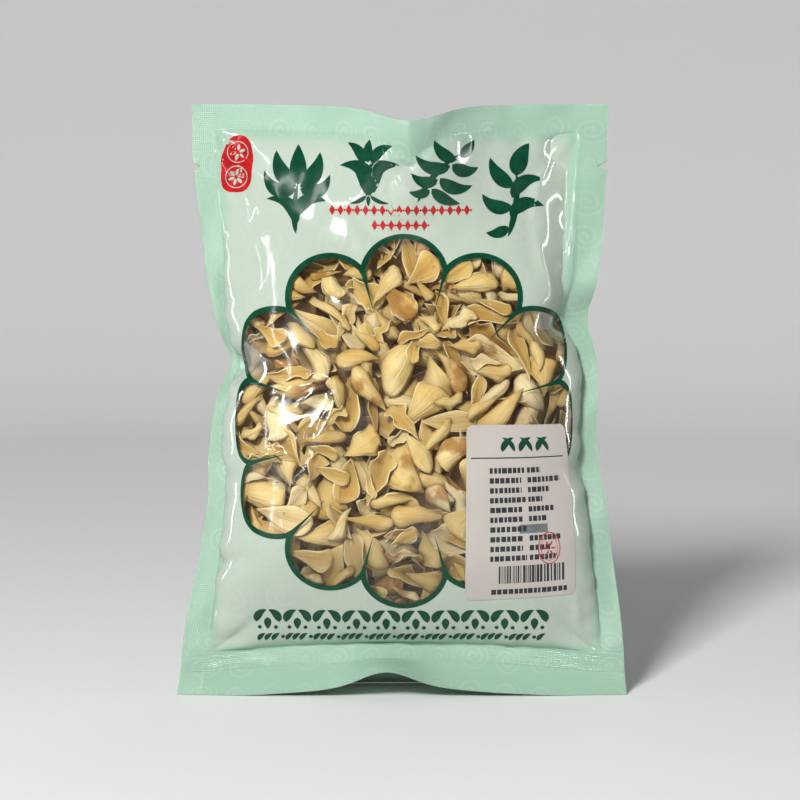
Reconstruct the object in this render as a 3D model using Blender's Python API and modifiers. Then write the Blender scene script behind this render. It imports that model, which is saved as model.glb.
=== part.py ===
"""Pillow packet of dried lily bulb scales, standing on the loose lips of its bottom hem.

Lengths below are in millimetres and are turned into metres when a mesh is written.
+Z is up, the printed front faces -Y, and the origin is at the middle of the packet's foot.
"""

import math
import random

import bmesh
import bpy
from mathutils import Matrix, Vector
from mathutils.bvhtree import BVHTree

# Overall size
HEIGHT = 296.0
FILM = 0.4
GAP = 0.3
MIDDLE_DEPTH = 2.77

# Side edges and side seams, as (height, x) points up the packet
EDGE_LEFT = ((0, -113), (38, -108.5), (74, -101), (98, -97.4), (122, -97), (152, -92),
             (166, -86.3), (177, -90), (206, -97), (236, -101), (272, -105), (296, -105.5))
EDGE_RIGHT = ((0, 113), (38, 110), (74, 105), (98, 102), (122, 98.2), (165, 98),
              (188, 93.8), (206, 97.5), (236, 101), (272, 102.5), (296, 103))
SEAM_LEFT = ((0, -101), (41, -95), (77, -90.5), (110, -88), (130, -90), (155, -85.5),
             (166, -82), (188, -88), (222, -89), (251, -92), (296, -95.5))
SEAM_RIGHT = ((0, 100), (36, 99), (63, 95.5), (90, 93), (123, 88), (165, 89),
              (188, 81), (210, 86), (264, 88), (296, 89.5))

# Hems at the top and bottom
TOP_SEAM = 282.5
TOP_SEAM_DIP = 12.0
TOP_EDGE_DIP = 7.5
BOTTOM_SEAM = 21.0
BOTTOM_SEAM_RISE = 4.7
SEAL_BAND = 10.0

# How the packet leans and bends, as depths along Y
FOOT_Y = -9.0
LEAN = 27.0
TOP_BEND = 36.0
TOP_BEND_WIDTH = 34.0
ARCH_HEIGHT = 14.5
ARCH_X = -8.0
FRONT_LIP_OUT = 11.0
BACK_LIP_OUT = 26.0

# How far the filled body stands out in front of and behind its seams
FRONT_BULGE = 27.0
BACK_BULGE = 29.0
FULLEST = 0.36
BODY_EXPONENT = 2.7

# Petal-edged clear opening
PETALS = 12
PETAL_TIP = 94.0
PETAL_CUSP = 83.0
OPENING_X = 1.0
OPENING_Z = 137.0
OPENING_SQUEEZE = 0.905

# Paper label over the opening's lower right
LABEL_LEFT, LABEL_RIGHT = 32.0, 86.5
LABEL_BOTTOM, LABEL_TOP = 51.5, 136.5
LABEL_CORNER = 3.5
LABEL_PAPER = 0.3

# Tear notches in both side hems
NOTCH_Z = 265.5
NOTCH_DEPTH = 3.0

# Dried scales
SCALES = 66
SCALE_LENGTH = (27.0, 46.0)
SCALE_RATIO = (0.40, 0.55)
CORE_INSET = 5.5
SEED = 41

MM = 0.001


def curve(points, t):
    """Read a smooth curve through (t, value) points."""
    if t <= points[0][0]:
        return points[0][1]
    if t >= points[-1][0]:
        return points[-1][1]
    n = len(points)
    i = 0
    while points[i + 1][0] < t:
        i += 1
    t0, v0 = points[i]
    t1, v1 = points[i + 1]
    span = t1 - t0
    ta, va = points[max(i - 1, 0)]
    tb, vb = points[min(i + 2, n - 1)]
    m0 = (v1 - va) / (t1 - ta) * span
    m1 = (vb - v0) / (tb - t0) * span
    f = (t - t0) / span
    f2 = f * f
    f3 = f2 * f
    return (2 * f3 - 3 * f2 + 1) * v0 + (f3 - 2 * f2 + f) * m0 + (3 * f2 - 2 * f3) * v1 + (f3 - f2) * m1


def bell(x, centre, width, power=2.0):
    return math.exp(-(abs(x - centre) / width) ** power)


def ramp(t, low, high):
    f = min(max((t - low) / (high - low), 0.0), 1.0)
    return f * f * (3.0 - 2.0 * f)


def middle_y(x, z):
    """Depth of the hem surface that both films share."""
    y = FOOT_Y + LEAN * z / HEIGHT
    y -= TOP_BEND * bell(x, 3.0, TOP_BEND_WIDTH, 1.6) * ramp(z, 215.0, 292.0)
    y += 7.0 * bell(z, 166.0, 13.0) * ramp(-x, 62.0, 90.0)
    y += 8.0 * bell(z, 188.0, 13.0) * ramp(x, 62.0, 92.0)
    y += 6.0 * (1.0 - (x / 113.0) ** 2) * (1.0 - ramp(z, 20.0, 90.0))
    return y


def seam_bottom(x):
    return BOTTOM_SEAM + BOTTOM_SEAM_RISE * max(1.0 - (x / 98.0) ** 2, 0.0)


def seam_top(x):
    return TOP_SEAM - 2.5 * bell(x, 0.0, 50.0) - TOP_SEAM_DIP * bell(x, 3.4, 13.0)


def edge_top(x):
    return HEIGHT - 0.5 - 1.8 * bell(x, 0.0, 60.0) - TOP_EDGE_DIP * bell(x, 4.0, 20.0)


def arch(x):
    wide = 0.42 * bell(x, ARCH_X + 4.0, 46.0)
    return wide + 0.58 * bell(x, ARCH_X, 17.0)


def fullness(f):
    """Share of the full bulge at the fraction f of the way up between the seams."""
    if f < FULLEST:
        return (1.0 - (1.0 - f / FULLEST) ** 2.6) ** 0.55
    g = (f - FULLEST) / (1.0 - FULLEST)
    return max(1.0 - g ** 2.1, 0.0) ** 0.85


def body_share(u, f):
    """Bulge share at u across, -1 to 1 between the side seams, and f up."""
    side = max(1.0 - abs(u) ** BODY_EXPONENT, 0.0) ** (1.0 / BODY_EXPONENT)
    return side * fullness(min(max(f, 0.0), 1.0))


def body_y(x, z, front):
    """Depth of the front or back film at a point of the filled body."""
    left = curve(SEAM_LEFT, z)
    right = curve(SEAM_RIGHT, z)
    u = (2.0 * x - left - right) / (right - left)
    low = seam_bottom(x)
    f = (z - low) / (seam_top(x) - low)
    share = body_share(u, f)
    if front:
        return middle_y(x, z) - FRONT_BULGE * share
    return middle_y(x, z) + BACK_BULGE * share


def lip_point(x, row, front):
    """Point of the bottom hem: row 0 is the lip's edge, 1 its middle, 2 the seal band's lower side."""
    seam = seam_bottom(x)
    lift = arch(x)
    spread = max(1.0 - (x / 113.0) ** 2, 0.0)
    band_z = seam - SEAL_BAND + 2.0 * lift
    band_y = middle_y(x, seam) - 6.0 * lift - 1.0 * spread
    if front:
        edge_z = ARCH_HEIGHT * lift * ramp(88.0 - abs(x), 0.0, 30.0) - 0.6
        edge_y = FOOT_Y - 4.0 * spread - FRONT_LIP_OUT * lift
    else:
        edge_z = -0.6
        edge_y = FOOT_Y + BACK_LIP_OUT * spread
    if row == 2:
        return band_y, band_z
    if row == 0:
        return edge_y, edge_z
    bow = 1.5 * spread * (1.0 if front else -1.0)
    return 0.5 * (band_y + edge_y) + bow, 0.5 * (band_z + edge_z) + (1.5 * lift if front else 0.0)


def columns(inner, hem):
    """Fractions across: hem strips outside -1 and 1, then the body between the seams."""
    strip = [i / hem for i in range(hem)]
    angles = [math.pi * (1.0 - i / inner) for i in range(inner + 1)]
    body = []
    for angle in angles:
        c = math.cos(angle)
        body.append(math.copysign(abs(c) ** (2.0 / BODY_EXPONENT), c))
    left = [-2.0 + s for s in strip]
    right = [2.0 - s for s in reversed(strip)]
    return left + body + right


def rows(inner):
    """Row heights: the bottom hem as 0 to 3, the body from 3 to 4, the top hem up to 5."""
    low = [0.0, 1.0, 2.0]
    body = []
    for i in range(inner + 1):
        s = i / inner
        body.append(3.0 + 0.5 * (1.0 - math.cos(math.pi * s)) * 0.45 + 0.55 * s)
    return low + body + [4.5, 5.0]


def film_point(a, b, front):
    """Point of a film sheet at column a and row b."""
    if b < 3.0:
        height = 7.0 * b
    elif b <= 4.0:
        height = BOTTOM_SEAM + (b - 3.0) * (TOP_SEAM - BOTTOM_SEAM)
    else:
        height = TOP_SEAM + (b - 4.0) * (HEIGHT - TOP_SEAM)
    left = curve(SEAM_LEFT, height)
    right = curve(SEAM_RIGHT, height)
    if a < -1.0:
        x = left + (curve(EDGE_LEFT, height) - left) * (-1.0 - a)
    elif a > 1.0:
        x = right + (curve(EDGE_RIGHT, height) - right) * (a - 1.0)
    else:
        x = 0.5 * (left + right) + 0.5 * (right - left) * a
    if b < 3.0:
        y, z = lip_point(x, int(b), front)
        return x, y, z
    low = seam_bottom(x)
    high = seam_top(x)
    if b > 4.0:
        z = high + (b - 4.0) * (edge_top(x) - high)
        return x, middle_y(x, z), z
    z = low + (b - 3.0) * (high - low)
    if abs(a) >= 1.0:
        return x, middle_y(x, z), z
    return x, body_y(x, z, front), z


def material(name, colour, roughness, alpha=1.0):
    """Principled material of a sub-part."""
    mat = bpy.data.materials.new(name)
    mat.use_nodes = True
    shader = mat.node_tree.nodes["Principled BSDF"]
    shader.inputs["Base Color"].default_value = (*colour, 1.0)
    shader.inputs["Roughness"].default_value = roughness
    shader.inputs["Metallic"].default_value = 0.0
    shader.inputs["Alpha"].default_value = alpha
    mat.diffuse_color = (*colour, alpha)
    return mat


def add_object(name, bm, collection, mat=None):
    """Make a named object of a bmesh that is in millimetres, centred front to back."""
    bmesh.ops.translate(bm, verts=bm.verts, vec=(0.0, -MIDDLE_DEPTH, 0.0))
    bmesh.ops.scale(bm, vec=(MM, MM, MM), verts=bm.verts)
    mesh = bpy.data.meshes.new(name)
    bm.to_mesh(mesh)
    bm.free()
    if mat is not None:
        mesh.materials.append(mat)
    mesh.shade_smooth()
    obj = bpy.data.objects.new(name, mesh)
    collection.objects.link(obj)
    return obj


def film_grid(front, inner_columns, inner_rows):
    """Bent sheet: a flat grid whose points are moved onto the film."""
    across = columns(inner_columns, 2)
    up = rows(inner_rows)
    bm = bmesh.new()
    bmesh.ops.create_grid(bm, x_segments=len(across) - 1, y_segments=len(up) - 1, size=0.5)
    for vert in bm.verts:
        i = round((vert.co.x + 0.5) * (len(across) - 1))
        j = round((vert.co.y + 0.5) * (len(up) - 1))
        vert.co = film_point(across[i], up[j], front)
    if not front:
        bmesh.ops.reverse_faces(bm, faces=bm.faces)
    return bm


def thicken(obj, inner, thickness):
    """Solidify an open sheet outwards, from the distance inner to inner + thickness."""
    solid = obj.modifiers.new("Thickness", "SOLIDIFY")
    solid.thickness = thickness * MM
    solid.offset = 1.0 + 2.0 * inner / thickness
    solid.use_even_offset = True
    solid.use_quality_normals = True
    return solid


def boolean(obj, cutter, operation):
    cut = obj.modifiers.new(operation.capitalize(), "BOOLEAN")
    cut.operation = operation
    cut.solver = "EXACT"
    cut.object = cutter


def hide_cutter(obj):
    obj.hide_render = True
    obj.display_type = "WIRE"


def petal_radius(angle):
    """Radius of the petal-edged outline, with one petal's tip straight up."""
    step = 2.0 * math.pi / PETALS
    phi = (angle - math.pi / 2 + step / 2) % step - step / 2
    half = step / 2
    far = PETAL_CUSP * math.cos(half)
    side = PETAL_CUSP * math.sin(half)
    centre = (PETAL_TIP ** 2 - far ** 2 - side ** 2) / (2.0 * (PETAL_TIP - far))
    rim = PETAL_TIP - centre
    return centre * math.cos(phi) + math.sqrt(rim ** 2 - (centre * math.sin(phi)) ** 2)


def opening_cutter(name, shrink, collection):
    """Petal-edged prism through the front film only."""
    bm = bmesh.new()
    bmesh.ops.create_circle(bm, cap_ends=True, segments=PETALS * 8, radius=1.0)
    for vert in bm.verts:
        angle = math.atan2(vert.co.y, vert.co.x)
        r = petal_radius(angle) - shrink
        x = OPENING_X + OPENING_SQUEEZE * r * math.cos(angle)
        z = OPENING_Z + r * math.sin(angle)
        vert.co = (x, -70.0, z)
    push_through(bm, 73.0)
    obj = add_object(name, bm, collection)
    hide_cutter(obj)
    return obj


def push_through(bm, depth):
    """Close a flat outline into a prism that runs along Y."""
    grown = bmesh.ops.extrude_face_region(bm, geom=bm.faces[:])
    moved = [g for g in grown["geom"] if isinstance(g, bmesh.types.BMVert)]
    bmesh.ops.translate(bm, verts=moved, vec=(0.0, depth, 0.0))
    bmesh.ops.recalc_face_normals(bm, faces=bm.faces)


def label_cutter(collection):
    """Rounded rectangle prism that cuts the label from a sheet lying over the front."""
    half_w = 0.5 * (LABEL_RIGHT - LABEL_LEFT)
    half_h = 0.5 * (LABEL_TOP - LABEL_BOTTOM)
    bm = bmesh.new()
    bmesh.ops.create_circle(bm, cap_ends=True, segments=16, radius=LABEL_CORNER)
    bmesh.ops.rotate(bm, verts=bm.verts, matrix=Matrix.Rotation(math.pi / 16, 3, "Z"))
    for vert in bm.verts:
        x = vert.co.x + math.copysign(half_w - LABEL_CORNER, vert.co.x)
        z = vert.co.y + math.copysign(half_h - LABEL_CORNER, vert.co.y)
        x += 0.5 * (LABEL_LEFT + LABEL_RIGHT)
        vert.co = (x, -70.0, z + 0.5 * (LABEL_BOTTOM + LABEL_TOP))
    push_through(bm, 66.0)
    obj = add_object("label_outline", bm, collection)
    hide_cutter(obj)
    return obj


def box_cutter(name, centre, size, turn, collection):
    """Plain box, turned about Y before it is placed."""
    bm = bmesh.new()
    bmesh.ops.create_cube(bm, size=1.0)
    bmesh.ops.scale(bm, vec=size, verts=bm.verts)
    bmesh.ops.rotate(bm, verts=bm.verts, matrix=Matrix.Rotation(turn, 3, "Y"))
    bmesh.ops.translate(bm, verts=bm.verts, vec=centre)
    obj = add_object(name, bm, collection)
    hide_cutter(obj)
    return obj


def depth_tree(bm):
    return BVHTree.FromBMesh(bm)


def depth_at(tree, x, z, from_front):
    """Depth where a line along Y meets a surface, from the front or from behind."""
    start = Vector((x, -200.0 if from_front else 200.0, z))
    way = Vector((0.0, 1.0 if from_front else -1.0, 0.0))
    hit = tree.ray_cast(start, way)
    return None if hit[0] is None else hit[0].y


def core_bmesh(front_tree, back_tree):
    """Smooth pillow behind the front scales: a sphere moved out to the films."""
    bm = bmesh.new()
    bmesh.ops.create_uvsphere(bm, u_segments=24, v_segments=13, radius=1.0)
    for vert in bm.verts:
        across, up, towards = vert.co.x, vert.co.z, -vert.co.y
        reach = math.hypot(across, up)
        spread = 1.0
        if reach > 1e-6:
            c = across / reach
            s = up / reach
            spread = reach / (abs(c) ** 3.4 + abs(s) ** 3.4) ** (1.0 / 3.4)
            across, up = c * spread, s * spread
        z = 146.0 + 114.0 * up
        left = curve(SEAM_LEFT, z) + 8.0
        right = curve(SEAM_RIGHT, z) - 8.0
        x = 0.5 * (left + right) + 0.5 * (right - left) * across
        front = depth_at(front_tree, x, z, True) + CORE_INSET
        back = depth_at(back_tree, x, z, False) - 1.3
        middle = 0.45 * front + 0.55 * back
        share = max(1.0 - min(reach, 1.0) ** 9, 0.0) ** 0.5
        y = middle + (front - middle if towards > 0 else back - middle) * share
        vert.co = (x, y, z)
    bmesh.ops.recalc_face_normals(bm, faces=bm.faces)
    return bm


def scale_bmesh(rng, cup_out):
    """One boat-shaped scale about its own middle: X along, Z across, -Y towards the film."""
    length = rng.uniform(*SCALE_LENGTH)
    width = length * rng.uniform(*SCALE_RATIO)
    deep = rng.uniform(4.2, 6.4)
    bend = rng.uniform(0.8, 2.6)
    blunt = rng.uniform(0.05, 0.25)
    bm = bmesh.new()
    bmesh.ops.create_uvsphere(bm, u_segments=6, v_segments=6, radius=1.0)
    for vert in bm.verts:
        s = vert.co.z
        ring = math.hypot(vert.co.x, vert.co.y)
        q = vert.co.x / ring if ring > 1e-6 else 0.0
        p = vert.co.y / ring if ring > 1e-6 else 0.0
        half = 0.5 * width * ring ** 0.8 * (1.0 - blunt * s)
        crown = deep * (1.0 - q * q) * ring + bend * (1.0 - s * s)
        wave = rng.uniform(-0.5, 0.5)
        if p <= 0.0:
            y = -crown
        elif cup_out:
            y = -crown + 1.7 * (1.0 - 0.35 * q * q)
        else:
            y = 0.9 - bend * (1.0 - s * s)
        if abs(p) < 1e-6:
            y += wave
        vert.co = (0.5 * length * s, y, half * q)
    bmesh.ops.recalc_face_normals(bm, faces=bm.faces)
    return bm


def place_scale(bm, rng, spot, cup_out, trees):
    """Turn a scale, bring it up to the film and sink its back into the core."""
    front_tree, back_tree, core_tree = trees
    turn = Matrix.Rotation(rng.uniform(0.0, 2.0 * math.pi), 3, "Y")
    if cup_out:
        turn = turn @ Matrix.Rotation(math.pi, 3, "X")
    tilt = Matrix.Rotation(rng.uniform(-0.28, 0.28), 3, "X") @ Matrix.Rotation(rng.uniform(-0.22, 0.22), 3, "Z")
    bmesh.ops.rotate(bm, verts=bm.verts, matrix=tilt @ turn)
    bmesh.ops.translate(bm, verts=bm.verts, vec=(spot[0], 0.0, spot[1]))
    outside = 0.0
    for vert in bm.verts:
        left = curve(SEAM_LEFT, vert.co.z) + 5.0
        right = curve(SEAM_RIGHT, vert.co.z) - 5.0
        if vert.co.x < left:
            outside = max(outside, left - vert.co.x)
        if vert.co.x > right:
            outside = min(outside, right - vert.co.x)
    bmesh.ops.translate(bm, verts=bm.verts, vec=(outside, 0.0, 0.0))
    ahead = min(v.co.y - depth_at(front_tree, v.co.x, v.co.z, True) for v in bm.verts)
    bmesh.ops.translate(bm, verts=bm.verts, vec=(0.0, 0.5 - ahead, 0.0))
    sunk = None
    for vert in bm.verts:
        core = depth_at(core_tree, vert.co.x, vert.co.z, True)
        if core is not None:
            sunk = vert.co.y - core if sunk is None else max(sunk, vert.co.y - core)
    if sunk is None:
        return False
    if sunk < 1.2:
        bmesh.ops.translate(bm, verts=bm.verts, vec=(0.0, 1.2 - sunk, 0.0))
    for vert in bm.verts:
        if vert.co.y > depth_at(back_tree, vert.co.x, vert.co.z, False) - 1.0:
            return False
    return True


def keep_largest_body(mesh):
    """Drop the walls of pockets that the union closed, leaving the outer skin."""
    bm = bmesh.new()
    bm.from_mesh(mesh)
    left = set(bm.faces)
    bodies = []
    while left:
        stack = [left.pop()]
        body = list(stack)
        while stack:
            face = stack.pop()
            for edge in face.edges:
                for other in edge.link_faces:
                    if other in left:
                        left.remove(other)
                        stack.append(other)
                        body.append(other)
        bodies.append(body)
    bodies.sort(key=len)
    scraps = [face for body in bodies[:-1] for face in body]
    bmesh.ops.delete(bm, geom=scraps, context="FACES")
    bmesh.ops.triangulate(bm, faces=bm.faces)
    bm.to_mesh(mesh)
    bm.free()


def scale_heap(front_bm, back_bm, collection, pieces, mat):
    """Scales on a sunflower spiral behind the opening, joined to the core they stand out of."""
    rng = random.Random(SEED)
    front_tree = depth_tree(front_bm)
    back_tree = depth_tree(back_bm)
    core = core_bmesh(front_tree, back_tree)
    trees = (front_tree, back_tree, depth_tree(core))
    heap = add_object("bulb_scales", core, collection, mat)
    for i in range(SCALES):
        reach = math.sqrt((i + 0.5) / SCALES)
        angle = i * math.pi * (3.0 - math.sqrt(5.0))
        x = OPENING_X + 78.0 * reach * math.cos(angle) + rng.uniform(-2.0, 2.0)
        z = OPENING_Z + 90.0 * reach * math.sin(angle) + rng.uniform(-2.0, 2.0)
        cup_out = rng.random() < 0.35
        bm = scale_bmesh(rng, cup_out)
        if place_scale(bm, rng, (x, z), cup_out, trees):
            add_object("scale_%02d" % i, bm, pieces)
        else:
            bm.free()
    union = heap.modifiers.new("Union", "BOOLEAN")
    union.operation = "UNION"
    union.solver = "EXACT"
    union.operand_type = "COLLECTION"
    union.collection = pieces
    bpy.context.view_layer.update()
    graph = bpy.context.evaluated_depsgraph_get()
    mesh = bpy.data.meshes.new_from_object(heap.evaluated_get(graph))
    heap.modifiers.clear()
    heap.data = mesh
    heap.data.name = "bulb_scales"
    keep_largest_body(mesh)
    for obj in list(pieces.objects):
        bpy.data.objects.remove(obj, do_unlink=True)
    bpy.data.collections.remove(pieces)
    return heap


def main():
    for obj in list(bpy.data.objects):
        bpy.data.objects.remove(obj, do_unlink=True)
    scene = bpy.context.scene.collection
    parts = bpy.data.collections.new("bulb_scale_packet")
    cutters = bpy.data.collections.new("cutters")
    pieces = bpy.data.collections.new("loose_scales")
    for collection in (parts, cutters, pieces):
        scene.children.link(collection)

    printed = material("printed_film", (0.58, 0.76, 0.60), 0.25)
    back_print = material("back_print", (0.42, 0.66, 0.46), 0.28)
    clear = material("clear_film", (0.93, 0.94, 0.90), 0.12, 0.25)
    paper = material("label_paper", (0.86, 0.87, 0.85), 0.5)
    dried = material("dried_scale", (0.68, 0.53, 0.28), 0.6)

    opening = opening_cutter("opening_outline", 0.0, cutters)
    clear_outline = opening_cutter("clear_outline", GAP, cutters)
    outline = label_cutter(cutters)
    floor = box_cutter("floor_cut", (0.0, 0.0, -5.0), (260.0, 120.0, 10.0), 0.0, cutters)
    side = NOTCH_DEPTH * math.sqrt(2.0)
    left = curve(EDGE_LEFT, NOTCH_Z)
    right = curve(EDGE_RIGHT, NOTCH_Z)
    notch_left = box_cutter("notch_left", (left, 10.0, NOTCH_Z), (side, 90.0, side), math.pi / 4, cutters)
    notch_right = box_cutter("notch_right", (right, 10.0, NOTCH_Z), (side, 90.0, side), math.pi / 4, cutters)

    front_sheet = film_grid(True, 20, 20)
    back_sheet = film_grid(False, 20, 20)
    front_base = front_sheet.copy()
    back_base = back_sheet.copy()
    clear_sheet = front_sheet.copy()
    label_sheet = front_sheet.copy()

    front = add_object("front_film", front_sheet, parts, printed)
    thicken(front, 0.5 * GAP, FILM)
    for cutter in (opening, notch_left, notch_right, floor):
        boolean(front, cutter, "DIFFERENCE")

    window = add_object("window_film", clear_sheet, parts, clear)
    thicken(window, 0.5 * GAP, FILM)
    boolean(window, clear_outline, "INTERSECT")

    back = add_object("back_film", back_sheet, parts, back_print)
    thicken(back, 0.5 * GAP, FILM)
    for cutter in (notch_left, notch_right, floor):
        boolean(back, cutter, "DIFFERENCE")

    label = add_object("label", label_sheet, parts, paper)
    thicken(label, 0.5 * GAP + FILM + GAP, LABEL_PAPER)
    boolean(label, outline, "INTERSECT")

    scale_heap(front_base, back_base, parts, pieces, dried)
    front_base.free()
    back_base.free()


main()
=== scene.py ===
"""Film packet of dried lily bulb scales: printed film, clear opening, paper label and fill."""

import math
import random

import bmesh
import bpy
import numpy as np
from bpy.props import FloatProperty, FloatVectorProperty, IntProperty, PointerProperty
from mathutils import Matrix, Vector


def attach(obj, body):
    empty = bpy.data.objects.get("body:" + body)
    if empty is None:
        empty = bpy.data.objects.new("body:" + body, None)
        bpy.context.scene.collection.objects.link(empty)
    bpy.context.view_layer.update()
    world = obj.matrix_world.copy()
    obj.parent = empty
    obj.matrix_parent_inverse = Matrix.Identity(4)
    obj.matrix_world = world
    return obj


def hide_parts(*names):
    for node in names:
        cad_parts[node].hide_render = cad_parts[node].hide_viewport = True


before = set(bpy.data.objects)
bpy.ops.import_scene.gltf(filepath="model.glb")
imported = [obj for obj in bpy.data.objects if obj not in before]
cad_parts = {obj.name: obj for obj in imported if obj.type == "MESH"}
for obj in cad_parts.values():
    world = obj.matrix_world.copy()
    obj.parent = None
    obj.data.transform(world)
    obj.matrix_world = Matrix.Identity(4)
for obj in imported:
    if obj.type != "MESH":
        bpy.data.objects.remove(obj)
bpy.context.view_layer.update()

bl_info = {
    "name": "Bulb Scale Packet",
    "version": (1, 0, 0),
    "blender": (4, 5, 0),
    "location": "3D View > Sidebar > Packet",
    "description": "Dresses a film packet of dried bulb scales: film, opening, label and fill",
    "category": "Object",
}

MM = 0.001

# Packet shape in millimetres, the same as its solids
HEIGHT = 296.0
MIDDLE_DEPTH = 2.77
EDGE_LEFT = ((0, -113), (38, -108.5), (74, -101), (98, -97.4), (122, -97), (152, -92),
             (166, -86.3), (177, -90), (206, -97), (236, -101), (272, -105), (296, -105.5))
EDGE_RIGHT = ((0, 113), (38, 110), (74, 105), (98, 102), (122, 98.2), (165, 98),
              (188, 93.8), (206, 97.5), (236, 101), (272, 102.5), (296, 103))
SEAM_LEFT = ((0, -101), (41, -95), (77, -90.5), (110, -88), (130, -90), (155, -85.5),
             (166, -82), (188, -88), (222, -89), (251, -92), (296, -95.5))
SEAM_RIGHT = ((0, 100), (36, 99), (63, 95.5), (90, 93), (123, 88), (165, 89),
              (188, 81), (210, 86), (264, 88), (296, 89.5))
TOP_SEAM = 282.5
TOP_SEAM_DIP = 12.0
TOP_EDGE_DIP = 7.5
BOTTOM_SEAM = 21.0
BOTTOM_SEAM_RISE = 4.7
SEAL_BAND = 10.0
FOOT_Y = -9.0
FOOT_HALF = 113.0
LEAN = 27.0
TOP_BEND = 36.0
TOP_BEND_WIDTH = 34.0
ARCH_HEIGHT = 14.5
ARCH_X = -8.0
FRONT_LIP_OUT = 11.0
BACK_LIP_OUT = 26.0
FRONT_BULGE = 27.0
BACK_BULGE = 29.0
FULLEST = 0.36
BODY_EXPONENT = 2.7
END_EXPONENT = 1.75

# Flat film: half its width, its side seams, and the heights of its hems
FLAT_HALF = 110.0
FLAT_SEAM = 100.0
FLAT_TOP = 300.0
SEAL_LOW = 14.0
HEM_LOW = 24.0
HEM_HIGH = 288.0
FLAT_UNIT = 300.0
FLAT_REACH = 99.0

# Tear notches on the flat film: height, half height and share of the hem
NOTCH = (270.2, 1.6, 0.34)

# Petal-edged opening, and how far out its flat print is seen as the film turns away
PETALS = 12
OPENING_AT = (1.0, 138.6)
OPENING_SQUEEZE = 0.98
PRINT_ACROSS = (0.0, 62.0, 74.0, 80.0, 86.0, 90.5, 95.0)
SEEN_ACROSS = (0.0, 62.5, 74.4, 78.6, 81.3, 82.6, 83.4)

# Heights over the film in millimetres
FILM_LIFT = 0.25
PRINT_LIFT = 0.50
PALE_LIFT = 0.56
LABEL_LIFT = 0.62
LABEL_PRINT_LIFT = 0.80
LABEL_RINGS_LIFT = 0.83
PRINT_THICK = 0.04
PALE_THICK = 0.03
LABEL_THICK = 0.16
LABEL_PRINT_THICK = 0.02

# Label as it is drawn flat
LABEL_WIDE = 56.0
LABEL_TALL = 88.0

# Heap of scales: cell of its height map, its reach, when the laying ends, and cells in view of a near scale
HEAP_CELL = 1.4
HEAP_REACH = 102.0
HEAP_MARGIN = 30.0
MOST_MISSES = 260
MOST_TRIES = 6500
NEAR_CELLS = 24


def table_of(points):
    """Dense table of a smooth curve through (t, value) points."""
    ts = np.arange(points[0][0], points[-1][0] + 0.5, 0.5)
    p = np.array(points, float)
    i = np.clip(np.searchsorted(p[:, 0], ts) - 1, 0, len(p) - 2)
    before = p[np.maximum(i - 1, 0)]
    start, end = p[i], p[i + 1]
    after = p[np.minimum(i + 2, len(p) - 1)]
    span = end[:, 0] - start[:, 0]
    m0 = (end[:, 1] - before[:, 1]) / (end[:, 0] - before[:, 0]) * span
    m1 = (after[:, 1] - start[:, 1]) / (after[:, 0] - start[:, 0]) * span
    f = (ts - start[:, 0]) / span
    f2, f3 = f * f, f * f * f
    values = (2 * f3 - 3 * f2 + 1) * start[:, 1] + (f3 - 2 * f2 + f) * m0
    values += (3 * f2 - 2 * f3) * end[:, 1] + (f3 - f2) * m1
    return ts, values


TABLES = {
    "edge_left": table_of(EDGE_LEFT), "edge_right": table_of(EDGE_RIGHT),
    "seam_left": table_of(SEAM_LEFT), "seam_right": table_of(SEAM_RIGHT),
}


def side(name, z):
    return np.interp(z, *TABLES[name])


def bell(x, centre, width, power=2.0):
    return np.exp(-(np.abs(x - centre) / width) ** power)


def ramp(t, low, high):
    f = np.clip((t - low) / (high - low), 0.0, 1.0)
    return f * f * (3.0 - 2.0 * f)


def middle_y(x, z):
    """Depth of the hem surface that both films share."""
    y = FOOT_Y + LEAN * z / HEIGHT
    y = y - TOP_BEND * bell(x, 3.0, TOP_BEND_WIDTH, 1.6) * ramp(z, 215.0, 292.0)
    y = y + 7.0 * bell(z, 166.0, 13.0) * ramp(-x, 62.0, 90.0)
    y = y + 8.0 * bell(z, 188.0, 13.0) * ramp(x, 62.0, 92.0)
    return y + 6.0 * (1.0 - (x / FOOT_HALF) ** 2) * (1.0 - ramp(z, 20.0, 90.0))


def seam_bottom(x):
    return BOTTOM_SEAM + BOTTOM_SEAM_RISE * np.maximum(1.0 - (x / 98.0) ** 2, 0.0)


def seam_top(x):
    return TOP_SEAM - 2.5 * bell(x, 0.0, 50.0) - TOP_SEAM_DIP * bell(x, 3.4, 13.0)


def edge_top(x):
    return HEIGHT - 0.5 - 1.8 * bell(x, 0.0, 60.0) - TOP_EDGE_DIP * bell(x, 4.0, 20.0)


def arch(x):
    return 0.42 * bell(x, ARCH_X + 4.0, 46.0) + 0.58 * bell(x, ARCH_X, 17.0)


def fullness(f):
    """Share of the full bulge at the fraction f of the way up between the seams."""
    low = (1.0 - np.clip(1.0 - f / FULLEST, 0.0, 1.0) ** 2.6) ** 0.64
    g = np.clip((f - FULLEST) / (1.0 - FULLEST), 0.0, 1.0)
    return np.where(f < FULLEST, low, np.maximum(1.0 - g ** 2.1, 0.0) ** 0.85)


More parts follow.
